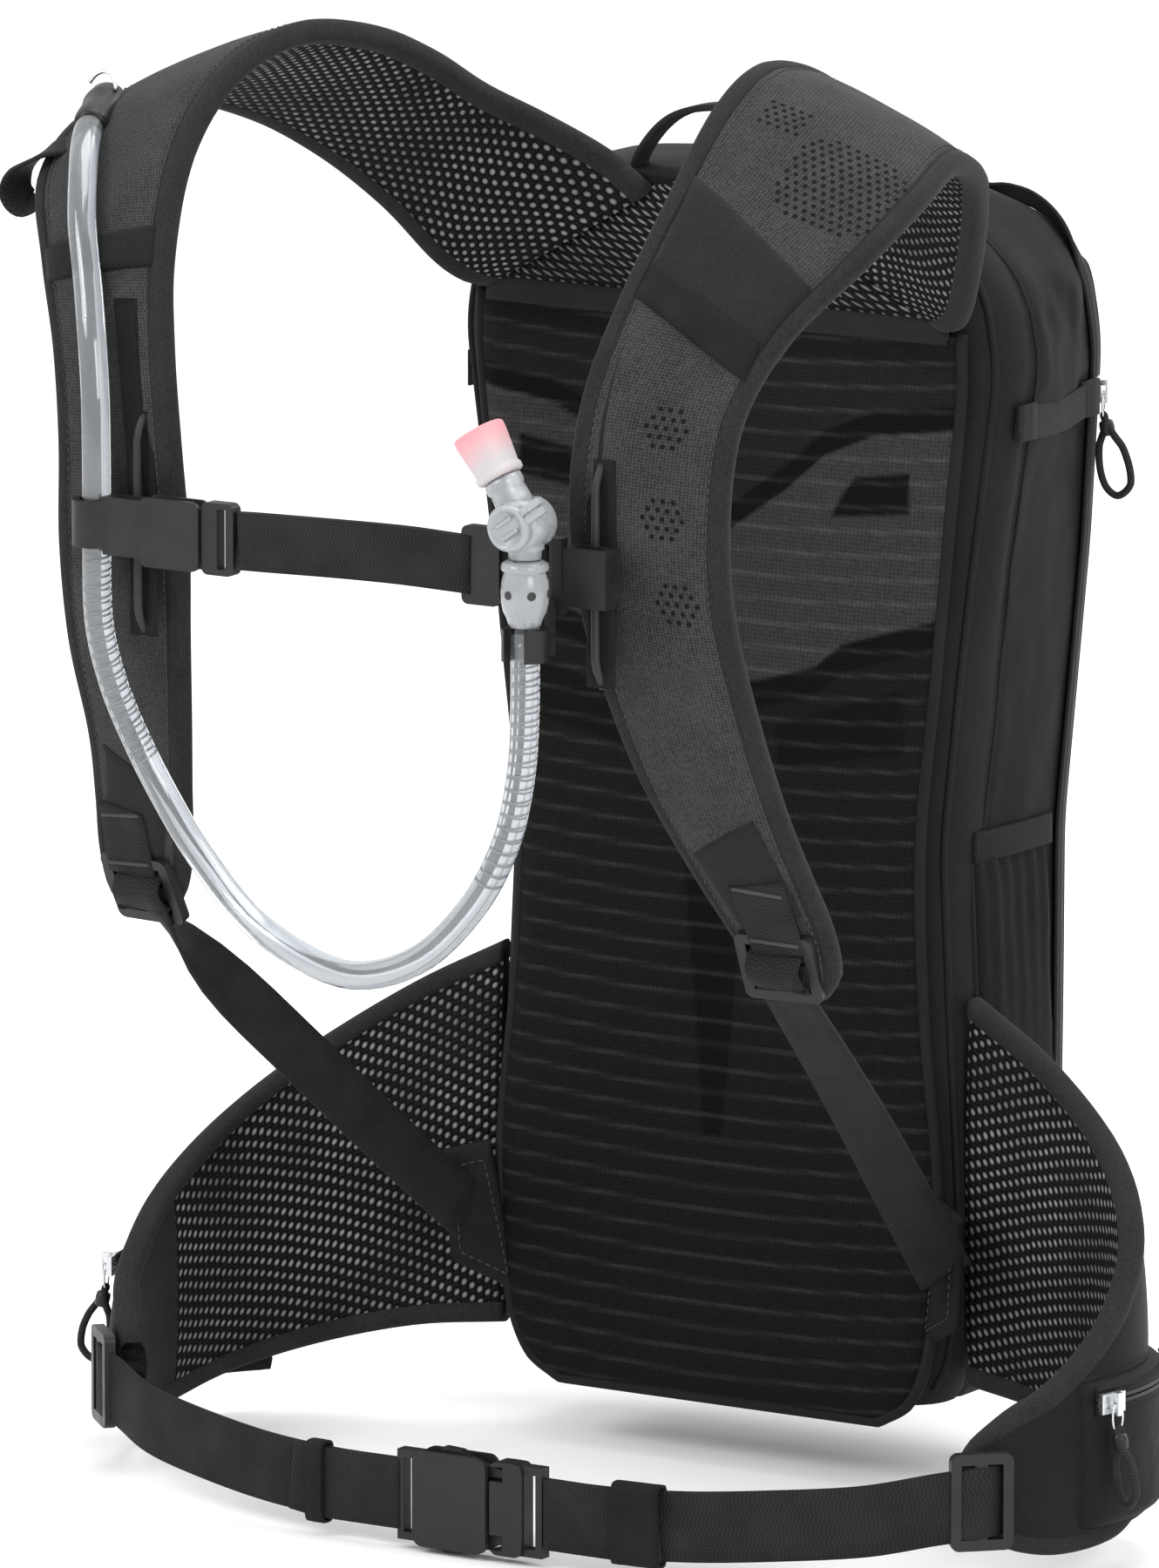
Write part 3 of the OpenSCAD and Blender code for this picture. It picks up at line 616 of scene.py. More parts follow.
def make_silicone():
    """Milky silicone that turns pink towards the mouth."""
    s = Shader("pink_silicone", (0.9, 0.62, 0.64), 0.38)
    s.set(Transmission_Weight=0.25, IOR=1.41, Subsurface_Weight=0.35, Subsurface_Scale=0.004)
    v = s.place()
    n = s.node("ShaderNodeSeparateXYZ")
    s.link(v, n.inputs[0])
    s_lean, c_lean = math.sin(VALVE_LEAN), math.cos(VALVE_LEAN)
    height = s.math("ADD", s.math("MULTIPLY", s.math("SUBTRACT", n.outputs[0], VALVE.x), -s_lean),
                    s.math("MULTIPLY", s.math("SUBTRACT", n.outputs[2], VALVE.z), c_lean))
    patchy = s.math("MULTIPLY_ADD", s.noise(0.12, 2, 0.5), 5.0, height)
    pink = s.range(patchy, 26, 38, 0, 1)
    s.color(s.mix(pink, (0.58, 0.56, 0.57), (0.85, 0.33, 0.37)))
    s.bump(s.noise(0.6, 2, 0.5), 0.06, 0.2)
    return s.material


BORE = clear_plastic("hose_water", (0.70, 0.73, 0.76), 0.04, 0.8, 0.05)
COIL = moulded("spiral_wire", (0.30, 0.31, 0.32), 0.4)
# Painted shade for the collar's holes.
COLLAR_HOLE_SHADE = moulded("painted_collar_hole_shade", (0.02, 0.021, 0.022), 0.5)
SILICONE = make_silicone()
SLIT = moulded("slit_shadow", (0.35, 0.06, 0.08), 0.5)

hose, bore, coil = make_hose()
collar, collar_holes = make_collar()
valve = make_valve()
lever = make_lever()
mouthpiece = make_mouthpiece()
[c * MM for c in HOSE_ROUTE[0]]


# ---- padded bands: shoulder straps and hip wings ----

class Band:
    """A padded band between two edge curves. u runs from -1 to 1 across it, v from 0 to 1 along it."""

    def __init__(self, edge_a, edge_b, thick, rim=0.5, steps=6):
        a, b = smooth(edge_a, steps), smooth(edge_b, steps)
        self.mid, self.w = (a + b) / 2, b - a
        self.n = unit(np.cross(np.gradient(self.mid, axis=0), self.w))
        s = lengths(self.mid)
        self.length, self.s, self.thick, self.rim = s[-1], s / s[-1], thick, rim

    def _at(self, table, v):
        return np.stack([np.interp(v, self.s, table[:, k]) for k in range(3)], -1)

    def half(self, u):
        return self.thick / 2 * (self.rim + (1 - self.rim) * (1 - np.abs(u) ** 3))

    def point(self, u, v, h=0.0, side=1):
        """The point h mm above the outer face (side 1) or the face towards the wearer (side -1)."""
        u, v, h = np.broadcast_arrays(np.asarray(u, float), np.asarray(v, float), np.asarray(h, float))
        rise = side * (self.half(np.clip(u, -1, 1)) + h)
        return self._at(self.mid, v) + self._at(self.w, v) * (u / 2)[...,
                                                                     None] + unit(self._at(self.n,
                                                                                           v)) * rise[...,
                                                                                                      None]

    def core(self, u, v):
        u, v = np.broadcast_arrays(np.asarray(u, float), np.asarray(v, float))
        return self._at(self.mid, v) + self._at(self.w, v) * (u / 2)[..., None]

    def width(self, v):
        return np.linalg.norm(self._at(self.w, np.asarray(v, float)), axis=-1)


def band_body(name, band, outer, inner, mirror, v0=0.0, v1=1.0, rows=110, cols=19, puff=None, inset=0.955):
    """The band's padding with its two faces. puff(u, v) raises the outer face."""
    u = np.linspace(-inset, inset, cols)
    rings = []
    for v in np.linspace(v0, v1, rows):
        lift = puff(u, v) if puff else 0.0
        top = band.point(u, np.full(cols, v), lift)
        under = band.point(u[::-1], np.full(cols, v), 0.0, -1)
        rings.append(np.vstack([top, under]))
    return skin(name, rings, [outer, inner], choose=lambda i, j: 0 if j < cols - 1 else 1, mirror=mirror)


def rim_tape(name, band, side, material, mirror, v0=0.0, v1=1.0, wide=4.6, deep=4.3, rows=120, inset=3.4):
    """The rolled tape that binds one edge of a band."""
    rings = []
    a = np.linspace(0, 2 * np.pi, 16, endpoint=False)
    shape = [(wide * math.copysign(abs(math.cos(q)) ** 0.75, math.cos(q)),
              deep * math.copysign(abs(math.sin(q)) ** 0.85, math.sin(q))) for q in a]
    for v in np.linspace(v0, v1, rows):
        centre = band.core(side * (1 - 2 * inset / band.width(v)), v)
        across = unit(band._at(band.w, v))
        normal = unit(band._at(band.n, v))
        rings.append([centre + across * x + normal * y for x, y in shape])
    return skin(name, rings, [material], mirror=mirror)


def patch(name, band, corners, lift, material, mirror=False, thick=0.9, rows=14, cols=14, side=1, edge=0.12):
    """A piece of cloth sewn on the band. corners are four (u, v), in order round the patch."""
    c = np.array(corners, float)
    rings = []
    for t in np.linspace(0, 1, rows):
        ends = (c[0] + (c[3] - c[0]) * t, c[1] + (c[2] - c[1]) * t)
        k = np.linspace(0, 1, cols)[:, None]
        uv = ends[0] + (ends[1] - ends[0]) * k
        fall = np.minimum(1, np.minimum(k[:, 0], 1 - k[:, 0]) / edge) * min(1, min(t, 1 - t) / edge)
        h = lift * (0.35 + 0.65 * fall ** 0.5) + strap_puff(uv[:, 0], uv[:, 1])
        top = band.point(uv[:, 0], uv[:, 1], h, side)
        low = band.point(uv[::-1, 0], uv[::-1, 1], -thick, side)
        rings.append(np.vstack([top, low]))
    return skin(name, rings, [material], mirror=mirror)


def stitches(name, points, normals, material, mirror=False, pitch=3.2, length=2.0, radius=0.32):
    """A row of short thread stitches along a line of points."""
    p = np.asarray(points, float)
    s = lengths(p)
    parts_v, parts_f = [], []
    count = int(s[-1] / pitch)
    for k in range(count):
        a = (k + 0.5) * pitch
        ends = [np.array([np.interp(a + d, s, p[:, i]) for i in range(3)])
                for d in (-length / 2, 0, length / 2)]
        n = np.array([np.interp(a, s, np.asarray(normals)[:, i]) for i in range(3)])
        t = unit(ends[2] - ends[0])
        b = np.cross(t, unit(n))
        base = len(parts_v)
        for e, lift, size in zip(ends, (-0.15, 0.28, -0.15), (0.6, 1.0, 0.6)):
            for q in range(6):
                g = 2 * math.pi * q / 6
                parts_v.append(e + unit(n) * lift + radius * size * (math.cos(g) * b + math.sin(g) * unit(n)))
        for r in range(2):
            for q in range(6):
                z = (q + 1) % 6
                parts_f.append((base + 6 * r + q, base + 6 * r + z, base + 6 * r + 6 + z,
                                base + 6 * r + 6 + q))
    v = np.array(parts_v)
    if mirror:
        v[:, 0] *= -1
    mesh = bpy.data.meshes.new(name)
    mesh.from_pydata([tuple(q) for q in v * MM], [], parts_f)
    mesh.polygons.foreach_set("use_smooth", [True] * len(parts_f))
    return add_object(name, mesh, [material])


NECK_EDGE = [(28, 4, 424), (42, 0, 436), (61, -12, 449), (75, -28, 460), (81, -52, 474), (85, -84, 486),
             (91, -122, 491), (96, -156, 481), (97, -184, 457), (91, -206, 424), (84, -217, 393),
             (80, -219, 360),
             (80, -214, 326), (85, -206, 294), (92, -195, 262), (101, -181, 233), (109, -168, 210)]
ARM_EDGE = [(94, 4, 386), (101, -1, 388), (109, -9, 396), (121, -23, 416), (135, -43, 436), (149, -68, 452),
            (161, -104, 462), (169, -142, 454), (165, -172, 438), (149, -193, 415), (137, -204, 388),
            (133, -207, 356), (134, -206, 322), (137, -196, 286), (139, -181, 252), (143, -171, 228),
            (147, -163, 208)]
# The padded tip hangs a little below the ladder-lock.
TIP_NECK = [(116, -160, 194), (124, -155, 184)]
TIP_ARM = [(147, -157, 192), (141, -154, 183)]
STRAP_PAD = 10.0
strap = Band(NECK_EDGE + TIP_NECK, ARM_EDGE + TIP_ARM, STRAP_PAD)


def v_at(z):
    """Where the front run of the strap's middle is z mm high."""
    run = strap.mid[:, 2]
    top = int(run.argmax())
    return float(np.interp(-z, -run[top:], strap.s[top:]))


SLIDER_V = v_at(362)


def strap_puff(u, v):
    """The stuffed face between its seams, with slight dents where it folds over the shoulder."""
    crown = 1.1 * (1 - np.abs(u) ** 2.5) * (1 - 0.9 * np.exp(-((v - SLIDER_V) / 0.06) ** 2))
    fold = sum(0.5 * np.exp(-((v - q) / 0.012) ** 2) for q in (0.22, 0.27, 0.70))
    return crown - fold


def make_strap(side):
    mirror = side < 0
    tag = "left" if side > 0 else "right"
    body = band_body("pad", strap, KNIT, MESH3D, mirror, puff=strap_puff)
    tapes = [rim_tape("tape", strap, k, BINDING, mirror) for k in (-1, 1)]
    node = f"shoulder_strap_{tag}"
    pad = settle(body, "pack", [node])
    pad.name = f"strap_pad_{tag}"
    rims = settle(join(f"strap_binding_{tag}", tapes), "pack")
    rows = np.linspace(0.02, 0.97, 240)
    lines = []
    for u in (-0.79, 0.79):
        p = strap.point(np.full(240, u), rows, 0.1 + strap_puff(np.full(240, u), rows))
        lines.append(stitches("thread", p, strap._at(strap.n, rows), THREAD, mirror))
    # The dark cords along both edges are painted shade in the groove between the binding tape and the knit
    # face.
    for u in (-0.86, 0.86):
        p = strap.point(np.full(240, u), rows, strap_puff(np.full(240, u), rows) - 0.25)
        lines.append(tube("groove", p * ((-1, 1, 1) if mirror else (1, 1, 1)), 0.8, RIM, 8))
    settle(join(f"strap_stitching_and_groove_shade_{tag}", lines), "pack")
    return pad, rims


THREAD = webbing_cloth("sewing_thread", (0.03, 0.031, 0.031), (0.075, 0.077, 0.077), 0.8)
for side in (1, -1):
    make_strap(side)


# ---- hip wings ----

WING_ROUTE = [(97, 19), (131, 12), (164, -2), (186, -25), (194.5, -54), (190, -82), (181, -100), (170, -112)]
WING_TOP = [146, 128, 105, 82, 60, 41, 32, 24]
WING_FOOT = [9, 5, -3, -11, -18, -19, -15, -8]
WING_PAD = 9.0
wing = Band([(x, y, z) for (x, y), z in zip(WING_ROUTE, WING_FOOT)],
            [(x, y, z) for (x, y), z in zip(WING_ROUTE, WING_TOP)], WING_PAD)
tip = np.clip((wing.s - 0.90) / 0.10, 0, 1)
wing.w = wing.w * (0.55 + 0.45 * np.sqrt(1 - tip ** 2))[:, None]
wing_out = 1 if np.dot(wing.n[len(wing.n) // 2], (1, 0, 0)) > 0 else -1


def make_wing(side):
    mirror = side < 0
    tag = "left" if side > 0 else "right"
    cols = 23
    u = np.linspace(-0.97, 0.97, cols)
    rings = []
    for v in np.linspace(0, 1, 70):
        crown = 1.6 * (1 - np.abs(u) ** 2.4)
        outer = wing.point(u, np.full(cols, v), crown, wing_out)
        inner = wing.point(u[::-1], np.full(cols, v), 0.4 * (1 - np.abs(u[::-1]) ** 2), -wing_out)
        rings.append(np.vstack([outer, inner]))
    plain_from = 47

    def choose(i, j):
        if j < cols - 1:
            return 0
        return 2 if i >= plain_from else 1

    pad = skin("pad", rings, [CLOTH_FRONT, MESH3D, SOFT], choose=choose, mirror=mirror)
    settle(pad, "pack", [f"hip_wing_{tag}"])
    pad.name = f"wing_pad_{tag}"
    tapes = [rim_tape("tape", wing, k, BINDING, mirror, wide=4.2, deep=4.6, inset=3.0) for k in (-1, 1)]
    settle(join(f"wing_binding_{tag}", tapes), "pack")


for side in (1, -1):
    make_wing(side)


# ---- sheets and cushions laid on a surface ----

def shell(name, surface, lift, materials, nu, nv, sink=1.0, mirror=False, choose=None, back=2):
    """A cushion on a surface. surface(u, v) gives points and normals, and lift(u, v) its height in mm."""
    u = np.linspace(0, 1, nu)
    rings = []
    for v in np.linspace(0, 1, nv):
        p, n = surface(u, np.full(nu, v))
        top = p + n * np.asarray(lift(u, np.full(nu, v)))[:, None]
        pick = np.linspace(nu - 1, 0, back).round().astype(int)
        low = p[pick] - n[pick] * sink
        rings.append(np.vstack([top, low]))
    return skin(name, rings, materials, mirror=mirror, choose=choose)


def dome(u, v, edge_u=0.1, edge_v=0.1, power=0.5):
    """0 at the rim, 1 inside, rising over the given shares of the width and height."""
    a = np.clip(np.minimum(u, 1 - u) / edge_u, 0, 1)
    b = np.clip(np.minimum(v, 1 - v) / edge_v, 0, 1)
    round_a, round_b = 1 - (1 - a) ** 2, 1 - (1 - b) ** 2
    return (round_a * round_b) ** power


def ripple(points, scale, seed=0.0, stretch=(1, 1, 1)):
    """Smooth noise from -1 to 1 at each point, for wrinkles."""
    k = np.asarray(stretch, float) * scale
    return np.array([noise.fractal(Vector((*(q * k),)) + Vector((seed, seed * 0.7, 0)), 1.0, 2.0, 3)
                     for q in points])


# ---- bag ----

BAG_H = 430
NEAR_R, FAR_R, ZIP_INSET = 16, 18, 12


def lookup(z, pairs):
    return np.interp(z, [a for a, _ in pairs], [b for _, b in pairs])


def soft_lookup(z, pairs, reach=9.0):
    """The same table with its corners rounded over."""
    shifts = np.linspace(-reach, reach, 9)
    return sum(lookup(z + d, pairs) for d in shifts) / len(shifts)


@functools.lru_cache(None)
def half_w(z):
    return 95 + soft_lookup(z, [(0, -14), (8, -4), (30, 0), (70, 1), (200, -1), (300, 3), (370, 7), (398, 5),
                                (414, -4),
                           (425, -18), (430, -36)])


@functools.lru_cache(None)
def near_w(z):
    return half_w(z) + soft_lookup(z, [(0, 0), (70, 1), (140, -2), (200, -4), (260, 0), (320, 5), (370, 9),
                                       (398, 6),
                                  (414, 3), (430, 1)])


@functools.lru_cache(None)
def depth(z):
    return 88 + soft_lookup(z, [(0, -10), (8, -7), (30, -4), (70, 0), (140, 3), (200, 5), (300, 15),
                                (370, 15), (398, 10),
                           (414, 2), (425, -10), (430, -24)])


def zip_y(z):
    return depth(min(z, 398)) - ZIP_INSET


@functools.lru_cache(None)
def bag_half(z):
    """Half a section of the bag: x, y, from the middle of the panel side to the middle of the front."""
    xn, xf, y0, y1 = near_w(z) - NEAR_R, half_w(z) - FAR_R, 8 + NEAR_R, depth(z) - FAR_R
    panel = [(x, 8) for x in np.linspace(0, xn, 8)[:-1]]
    near = [(xn + NEAR_R * math.cos(a), y0 + NEAR_R * math.sin(a))
            for a in np.radians(np.linspace(-90, 0, 10))]
    start, end = near[-1], (xf + FAR_R, y1)
    side = [(start[0] + (end[0] - start[0]) * k, start[1] + (end[1] - start[1]) * k)
            for k in np.linspace(0, 1, 24)[1:-1]]
    far = [(xf + FAR_R * math.cos(a), y1 + FAR_R * math.sin(a)) for a in np.radians(np.linspace(0, 90, 15))]
    front = [(x, depth(z)) for x in np.linspace(xf, 0, 26)[1:]]
    return np.array(panel + near + side + far
                    + front), len(panel) + len(near), len(panel) + len(near) + len(side) + 3


def bag_surface(z_values):
    """Rings of the stuffed bag, with its panels pushed out and the seams drawn in."""
    rings = []
    for z in z_values:
        half, side_from, zip_at = bag_half(z)
        full = np.vstack([half, (half * (-1, 1))[-2:0:-1]])
        t = np.roll(full, -1, 0) - np.roll(full, 1, 0)
        n = unit(np.stack([t[:, 1], -t[:, 0]], 1))
        count = len(half)
        push = np.zeros(len(full))
        rise = min(1, z / 40) * min(1, (BAG_H - z) / 30)
        for k in range(count):
            y = half[k][1]
            if side_from - 10 <= k < zip_at:
                f = (k - side_from + 10) / (zip_at - side_from + 10)
                value = 2.6 * math.sin(math.pi * f) * rise
                value -= 0.9 * math.exp(-((y - 30) / 1.6) ** 2)
            elif k >= zip_at:
                f = (k - zip_at) / (count - zip_at)
                value = 4.5 * math.sin(math.pi / 2 * f) * rise
            else:
                value = 0
            push[k] = value
        push[count:] = push[1:count - 1][::-1]
        p3 = np.column_stack([full, np.full(len(full), z)])
        crease = ripple(p3, 0.022, 3.0, (1, 1, 0.5)) * 1.5 + ripple(p3, 0.07, 8.0, (1, 1, 0.6)) * 0.5
        top = 1 + 2.2 * math.exp(-((z - 378) / 34) ** 2)
        outer = np.clip((full[:, 1] - 14) / 14, 0, 1)
        outer *= 1 - 0.95 * np.exp(-((full[:, 1] - zip_y(z)) / 9) ** 2) * (np.abs(full[:, 0]) > half_w(z)
                                                                           - 25)
        full = full + n * (push + crease * outer * top * rise)[:, None]
        rings.append(np.column_stack([full, np.full(len(full), z)]))
    return rings


def make_bag():
    zs = np.concatenate([np.linspace(0, 30, 14), np.linspace(34, 370, 96), np.linspace(374, 414, 16),
                         np.linspace(417, 430, 8)])
    rings = bag_surface(zs)
    # Close the top and foot with shrinking rows.
    for share, drop in ((0.8, 1.4), (0.5, 2.2), (0.15, 2.6)):
        for end, sign in ((-1, 1), (0, -1)):
            row = rings[end].copy()
            base = bag_surface([zs[end if end == 0 else -1]])[0]
            centre = base.mean(0)
            row[:, :2] = centre[:2] + (base[:, :2] - centre[:2]) * share
            row[:, 2] = base[:, 2] + sign * (drop if end == -1 else drop * 0.3)
            if end == -1:
                rings.append(row)
            else:
                rings.insert(0, row)
    half, side_from, zip_at = bag_half(200)
    count = len(half)

    def choose(i, j):
        k = j if j < count else 2 * count - 2 - j
        return 1 if k >= zip_at + 1 else (2 if k < side_from + 2 else 0)

    bag = skin("bag_cloth", rings, [CLOTH, CLOTH_FRONT, RIM], choose=choose)
    return settle(bag, "pack", ["bag_body", "bag_cover"])


def zip_point(z):
    """A point of the left half of the main zip's line, with its outward direction."""
    y1 = depth(z)
    s = min(1.0, (zip_y(z) - y1 + FAR_R) / FAR_R)
    a = math.asin(s)
    lift = 1.0
    return np.array([half_w(z) - FAR_R + (FAR_R + lift) * math.cos(a), y1 - FAR_R + (FAR_R + lift) * s, z]), \
        np.array([math.cos(a), s, 0.0])


def resample_pair(p, n, count):
    s = lengths(p)
    at = np.linspace(0, s[-1], count)

    def pick(a):
        return np.stack([np.interp(at, s, a[:, k]) for k in range(3)], 1)

    return pick(p), unit(pick(n))


def zip_line():
    top = 417.6
    left = [zip_point(z) for z in np.concatenate([np.linspace(4, 398, 90), np.linspace(399.5, top, 20)])]
    p = np.array([q for q, _ in left])
    n = np.array([q for _, q in left])
    last = p[-1]
    xs = np.linspace(last[0], 0, 30)[1:]
    p = np.vstack([p, [(x, last[1] + 2.5 * (1 - x / last[0]), last[2] + 0.5) for x in xs]])
    n = np.vstack([n, np.tile((0, 0.85, 0.5), (len(xs), 1))])
    p = np.vstack([p, (p * (-1, 1, 1))[-2::-1]])
    n = np.vstack([n, (n * (-1, 1, 1))[-2::-1]])
    n = unit(n)
    p = resample_pair(p, n, 420)
    return p


def zip_strip(name, points, normals, width, lift=0.3):
    """A reversed coil zip: two tape halves that meet at a fine groove."""
    t = unit(np.gradient(points, axis=0))
    across = unit(np.cross(t, normals))
    out = []
    for side in (-1, 1):
        middle = points + across * (side * (width / 4 + 0.15)) + normals * lift
        out.append(ribbon("tape", middle, across, width / 2 - 0.3, 1.1, TAPE))
        lip = points + across * (side * 0.95) + normals * (lift + 0.35)
        out.append(tube("lip", lip, 0.75, PIPING, 8))
        edge = points + across * (side * (width / 2 + 0.2)) + normals * (lift - 0.1)
        out.append(tube("fold", edge, 0.8, RIM, 8))
    return join(name, out)


def make_main_zip():
    p, n = zip_line()
    settle(zip_strip("main_zip_coil", p, n, 11), "pack", ["main_zip"])


def make_piping():
    """Rolled seams where the side meets the panel, and the panel seam on the side."""
    parts = []
    for mirror in (False, True):
        for at, r in ((5, 1.5), (12, 0.7)):
            line = []
            for z in np.linspace(6, 424, 120):
                ring = bag_surface([z])[0]
                line.append(ring[7 + at] + (0, 0, 0))
            line = np.array(line)
            parts.append(tube("piping", line * ((-1, 1, 1) if mirror else (1, 1, 1)), r, RIM, 8))
    return settle(join("bag_piping", parts), "pack")


make_bag()
make_main_zip()
make_piping()


def on_side(y, z, grow=0.0):
    """A point on the left side of the plain bag form at that depth and height, with its outward direction."""
    out_p, out_n = [], []
    for yy, zz in np.broadcast(y, z):
        half, _, _ = bag_half(float(zz))
        turn = np.gradient(half, axis=0)
        n2 = unit(np.stack([turn[:, 1], -turn[:, 0]], 1))
        keep = slice(8, len(half) - 20)
        ys = half[keep, 1]
        order = np.argsort(ys)
        x = np.interp(yy, ys[order], half[keep, 0][order])
        nx = np.interp(yy, ys[order], n2[keep, 0][order])
        ny = np.interp(yy, ys[order], n2[keep, 1][order])
        n = unit(np.array([nx, ny, 0]))
        out_p.append(np.array([x, yy, zz]) + n * grow)
        out_n.append(n)
    return np.array(out_p), np.array(out_n)


def make_side_pockets():
    parts = []
    for mirror in (False, True):
        def surface(u, v):
            return on_side(25 + 46 * u, 20 + 179 * v)

        def lift(u, v):
            p, _ = surface(u, v)
            pleats = 0.7 * np.sin(u * 2 * np.pi * 6) * np.clip((v - 0.55) / 0.45, 0, 1)
            return 1.4 + 4.6 * dome(u, v, 0.25, 0.12) * (1 - 0.25 * v) + pleats + ripple(p, 0.05, 5.0) * 0.8

        parts.append(shell("pocket", surface, lift, [STRETCH], 44, 60, mirror=mirror))
        top, n = on_side(np.linspace(24, 71, 30), np.full(30, 199.0))
        lip = top + n * (2.2 + 1.6 * np.sin(np.linspace(0, np.pi, 30)))[:, None]
        if mirror:
            lip, n = lip * (-1, 1, 1), n * (-1, 1, 1)
        parts.append(ribbon("lip", lip, np.tile((0, 0, 1.0), (30, 1)), 11, 2.2, ELASTIC))
        seam = np.array([on_side(24.5, z, 1.2)[0][0] for z in np.linspace(20, 199, 50)])
        parts.append(tube("seam", seam * ((-1, 1, 1) if mirror else (1, 1, 1)), 1.2, RIM, 8))
    pockets = settle(join("side_pocket_cloth", parts), "pack", ["side_pockets"])
    return pockets


def make_compression_straps():
    parts = []
    for mirror in (False, True):
        y = np.linspace(21, 84, 30)
        p, n = on_side(y, np.full(30, 352.0))
        p = p + n * (3.4 + 0.8 * np.sin(np.linspace(0, np.pi, 30)))[:, None]
        z_dip = -2.5 * np.sin(np.linspace(0, np.pi, 30))
        p[:, 2] += z_dip
        if mirror:
            p = p * (-1, 1, 1)
        parts.append(ribbon("strap", p, np.tile((0, 0, 1.0), (30, 1)), 12, 1.6, WEB))
        for at in (2, 27):
            q, m = p[at], n[at] * ((-1, 1, 1) if mirror else (1, 1, 1))
            tab = np.array([q + m * 0.9 + np.array([0, d, 0]) for d in (-6, -2, 2, 6)])
            parts.append(ribbon("bartack", tab, np.tile((0, 0, 1.0), (4, 1)), 13, 1.0, WEB))
    return settle(join("side_straps", parts), "pack", ["compression_straps"])


def make_front_pocket():
    def surface(u, v):
        z = 26 + 274 * v
        x = -67 + 134 * u
        y = np.array([depth(float(q)) for q in z]) + 4.0
        return np.column_stack([x, y, z]), np.tile((0, 1.0, 0), (len(x), 1))

    def lift(u, v):
        p, _ = surface(u, v)
        return 0.6 + 6.6 * dome(u, v, 0.16, 0.07) + ripple(p, 0.03, 11.0) * 1.2 * dome(u, v)

    pocket = shell("front_pocket_cloth", surface, lift, [CLOTH_FRONT], 60, 90, sink=5)
    settle(pocket, "pack", ["front_pocket"])
    x = np.linspace(-66, 66, 80)
    p = np.column_stack([x, np.full(80, depth(302.5) + 7.0), np.full(80, 302.5)])
    strip = zip_strip("front_zip_coil", p, np.tile((0, 1.0, 0), (80, 1)), 10)
    settle(strip, "pack", ["front_zip"])


make_side_pockets()
make_compression_straps()
make_front_pocket()


# ---- back panel and yoke ----

PANEL = [(float(z), float(x)) for x, _, z in smooth(
    [(66, 0, -6), (80, 0, 4), (88, 0, 30), (90, 0, 80), (84, 0, 140), (82, 0, 200), (88, 0, 260),
     (94, 0, 320),
     (98, 0, 360), (98, 0, 384)], 5)]
GULL = [(0, 309), (8, 313), (31, 329), (46, 342), (65, 350), (98, 355)]
WAVE = [(0, 247), (19, 250), (42, 257), (53, 266), (75, 273), (98, 280)]


def edge_share(x, z, outline, reach):
    """0 on the panel's outline and 1 further in than reach."""
    pts = np.array([(h, q) for q, h in outline])
    full = np.vstack([pts, (pts * (-1, 1))[::-1], pts[:1]])
    d = np.full(len(x), 1e9)
    for a, b in zip(full[:-1], full[1:]):
        ab = b - a
        t = np.clip(((x - a[0]) * ab[0] + (z - a[1]) * ab[1]) / (ab @ ab), 0, 1)
        d = np.minimum(d, np.hypot(x - a[0] - ab[0] * t, z - a[1] - ab[1] * t))
    return np.clip(d / reach, 0, 1)


def step(value, width=1.2):
    return np.clip(value / width + 0.5, 0, 1)


def panel_tone(x, z):
    """How pale the knit is: the pattern of smooth dark bands and ribbed pale zones."""
    a = np.abs(x)
    gull, wave = lookup(a, GULL), lookup(a, WAVE)
    tone = np.full(len(x), 0.16)
    pale = step(gull - 4 - z) * step(z - wave - 5)
    tone = tone * (1 - pale) + pale
    above = step(z - gull - 4) * step(372 - z)
    tone = tone * (1 - above) + 0.27 * above
    for centre, half in ((gull, 4.2), (wave, 4.8)):
        band = step(half - np.abs(z - centre))
        tone = tone * (1 - band) + 0.03 * band
    window = step(a - 50 + np.clip(328 - z, 0, 20) * 0.1) * step(80 - a) \
        * step(z - 316 - (a - 50) * 0.12) * step(331 + (a - 60) * 0.15 - z) * step(a - 46 - (z - 314) * 0.7)
    tone = tone * (1 - window) + 0.03 * window
    low = step(a - 24 - (255 - z) * 0.1) * step(78 - a) * step(z - 225 - (a - 26) * 0.18) * step(240
                                                                                                 + (a - 26)
                                                                                                 * 0.33 - z)
    tone = tone * (1 - low) + 0.05 * low
    channel = step(lookup(z, [(88, 3.5), (172, 11), (226, 15)]) - a) * step(z - 90) * step(226 - z)
    tone = tone * (1 - channel) + 0.02 * channel
    return tone


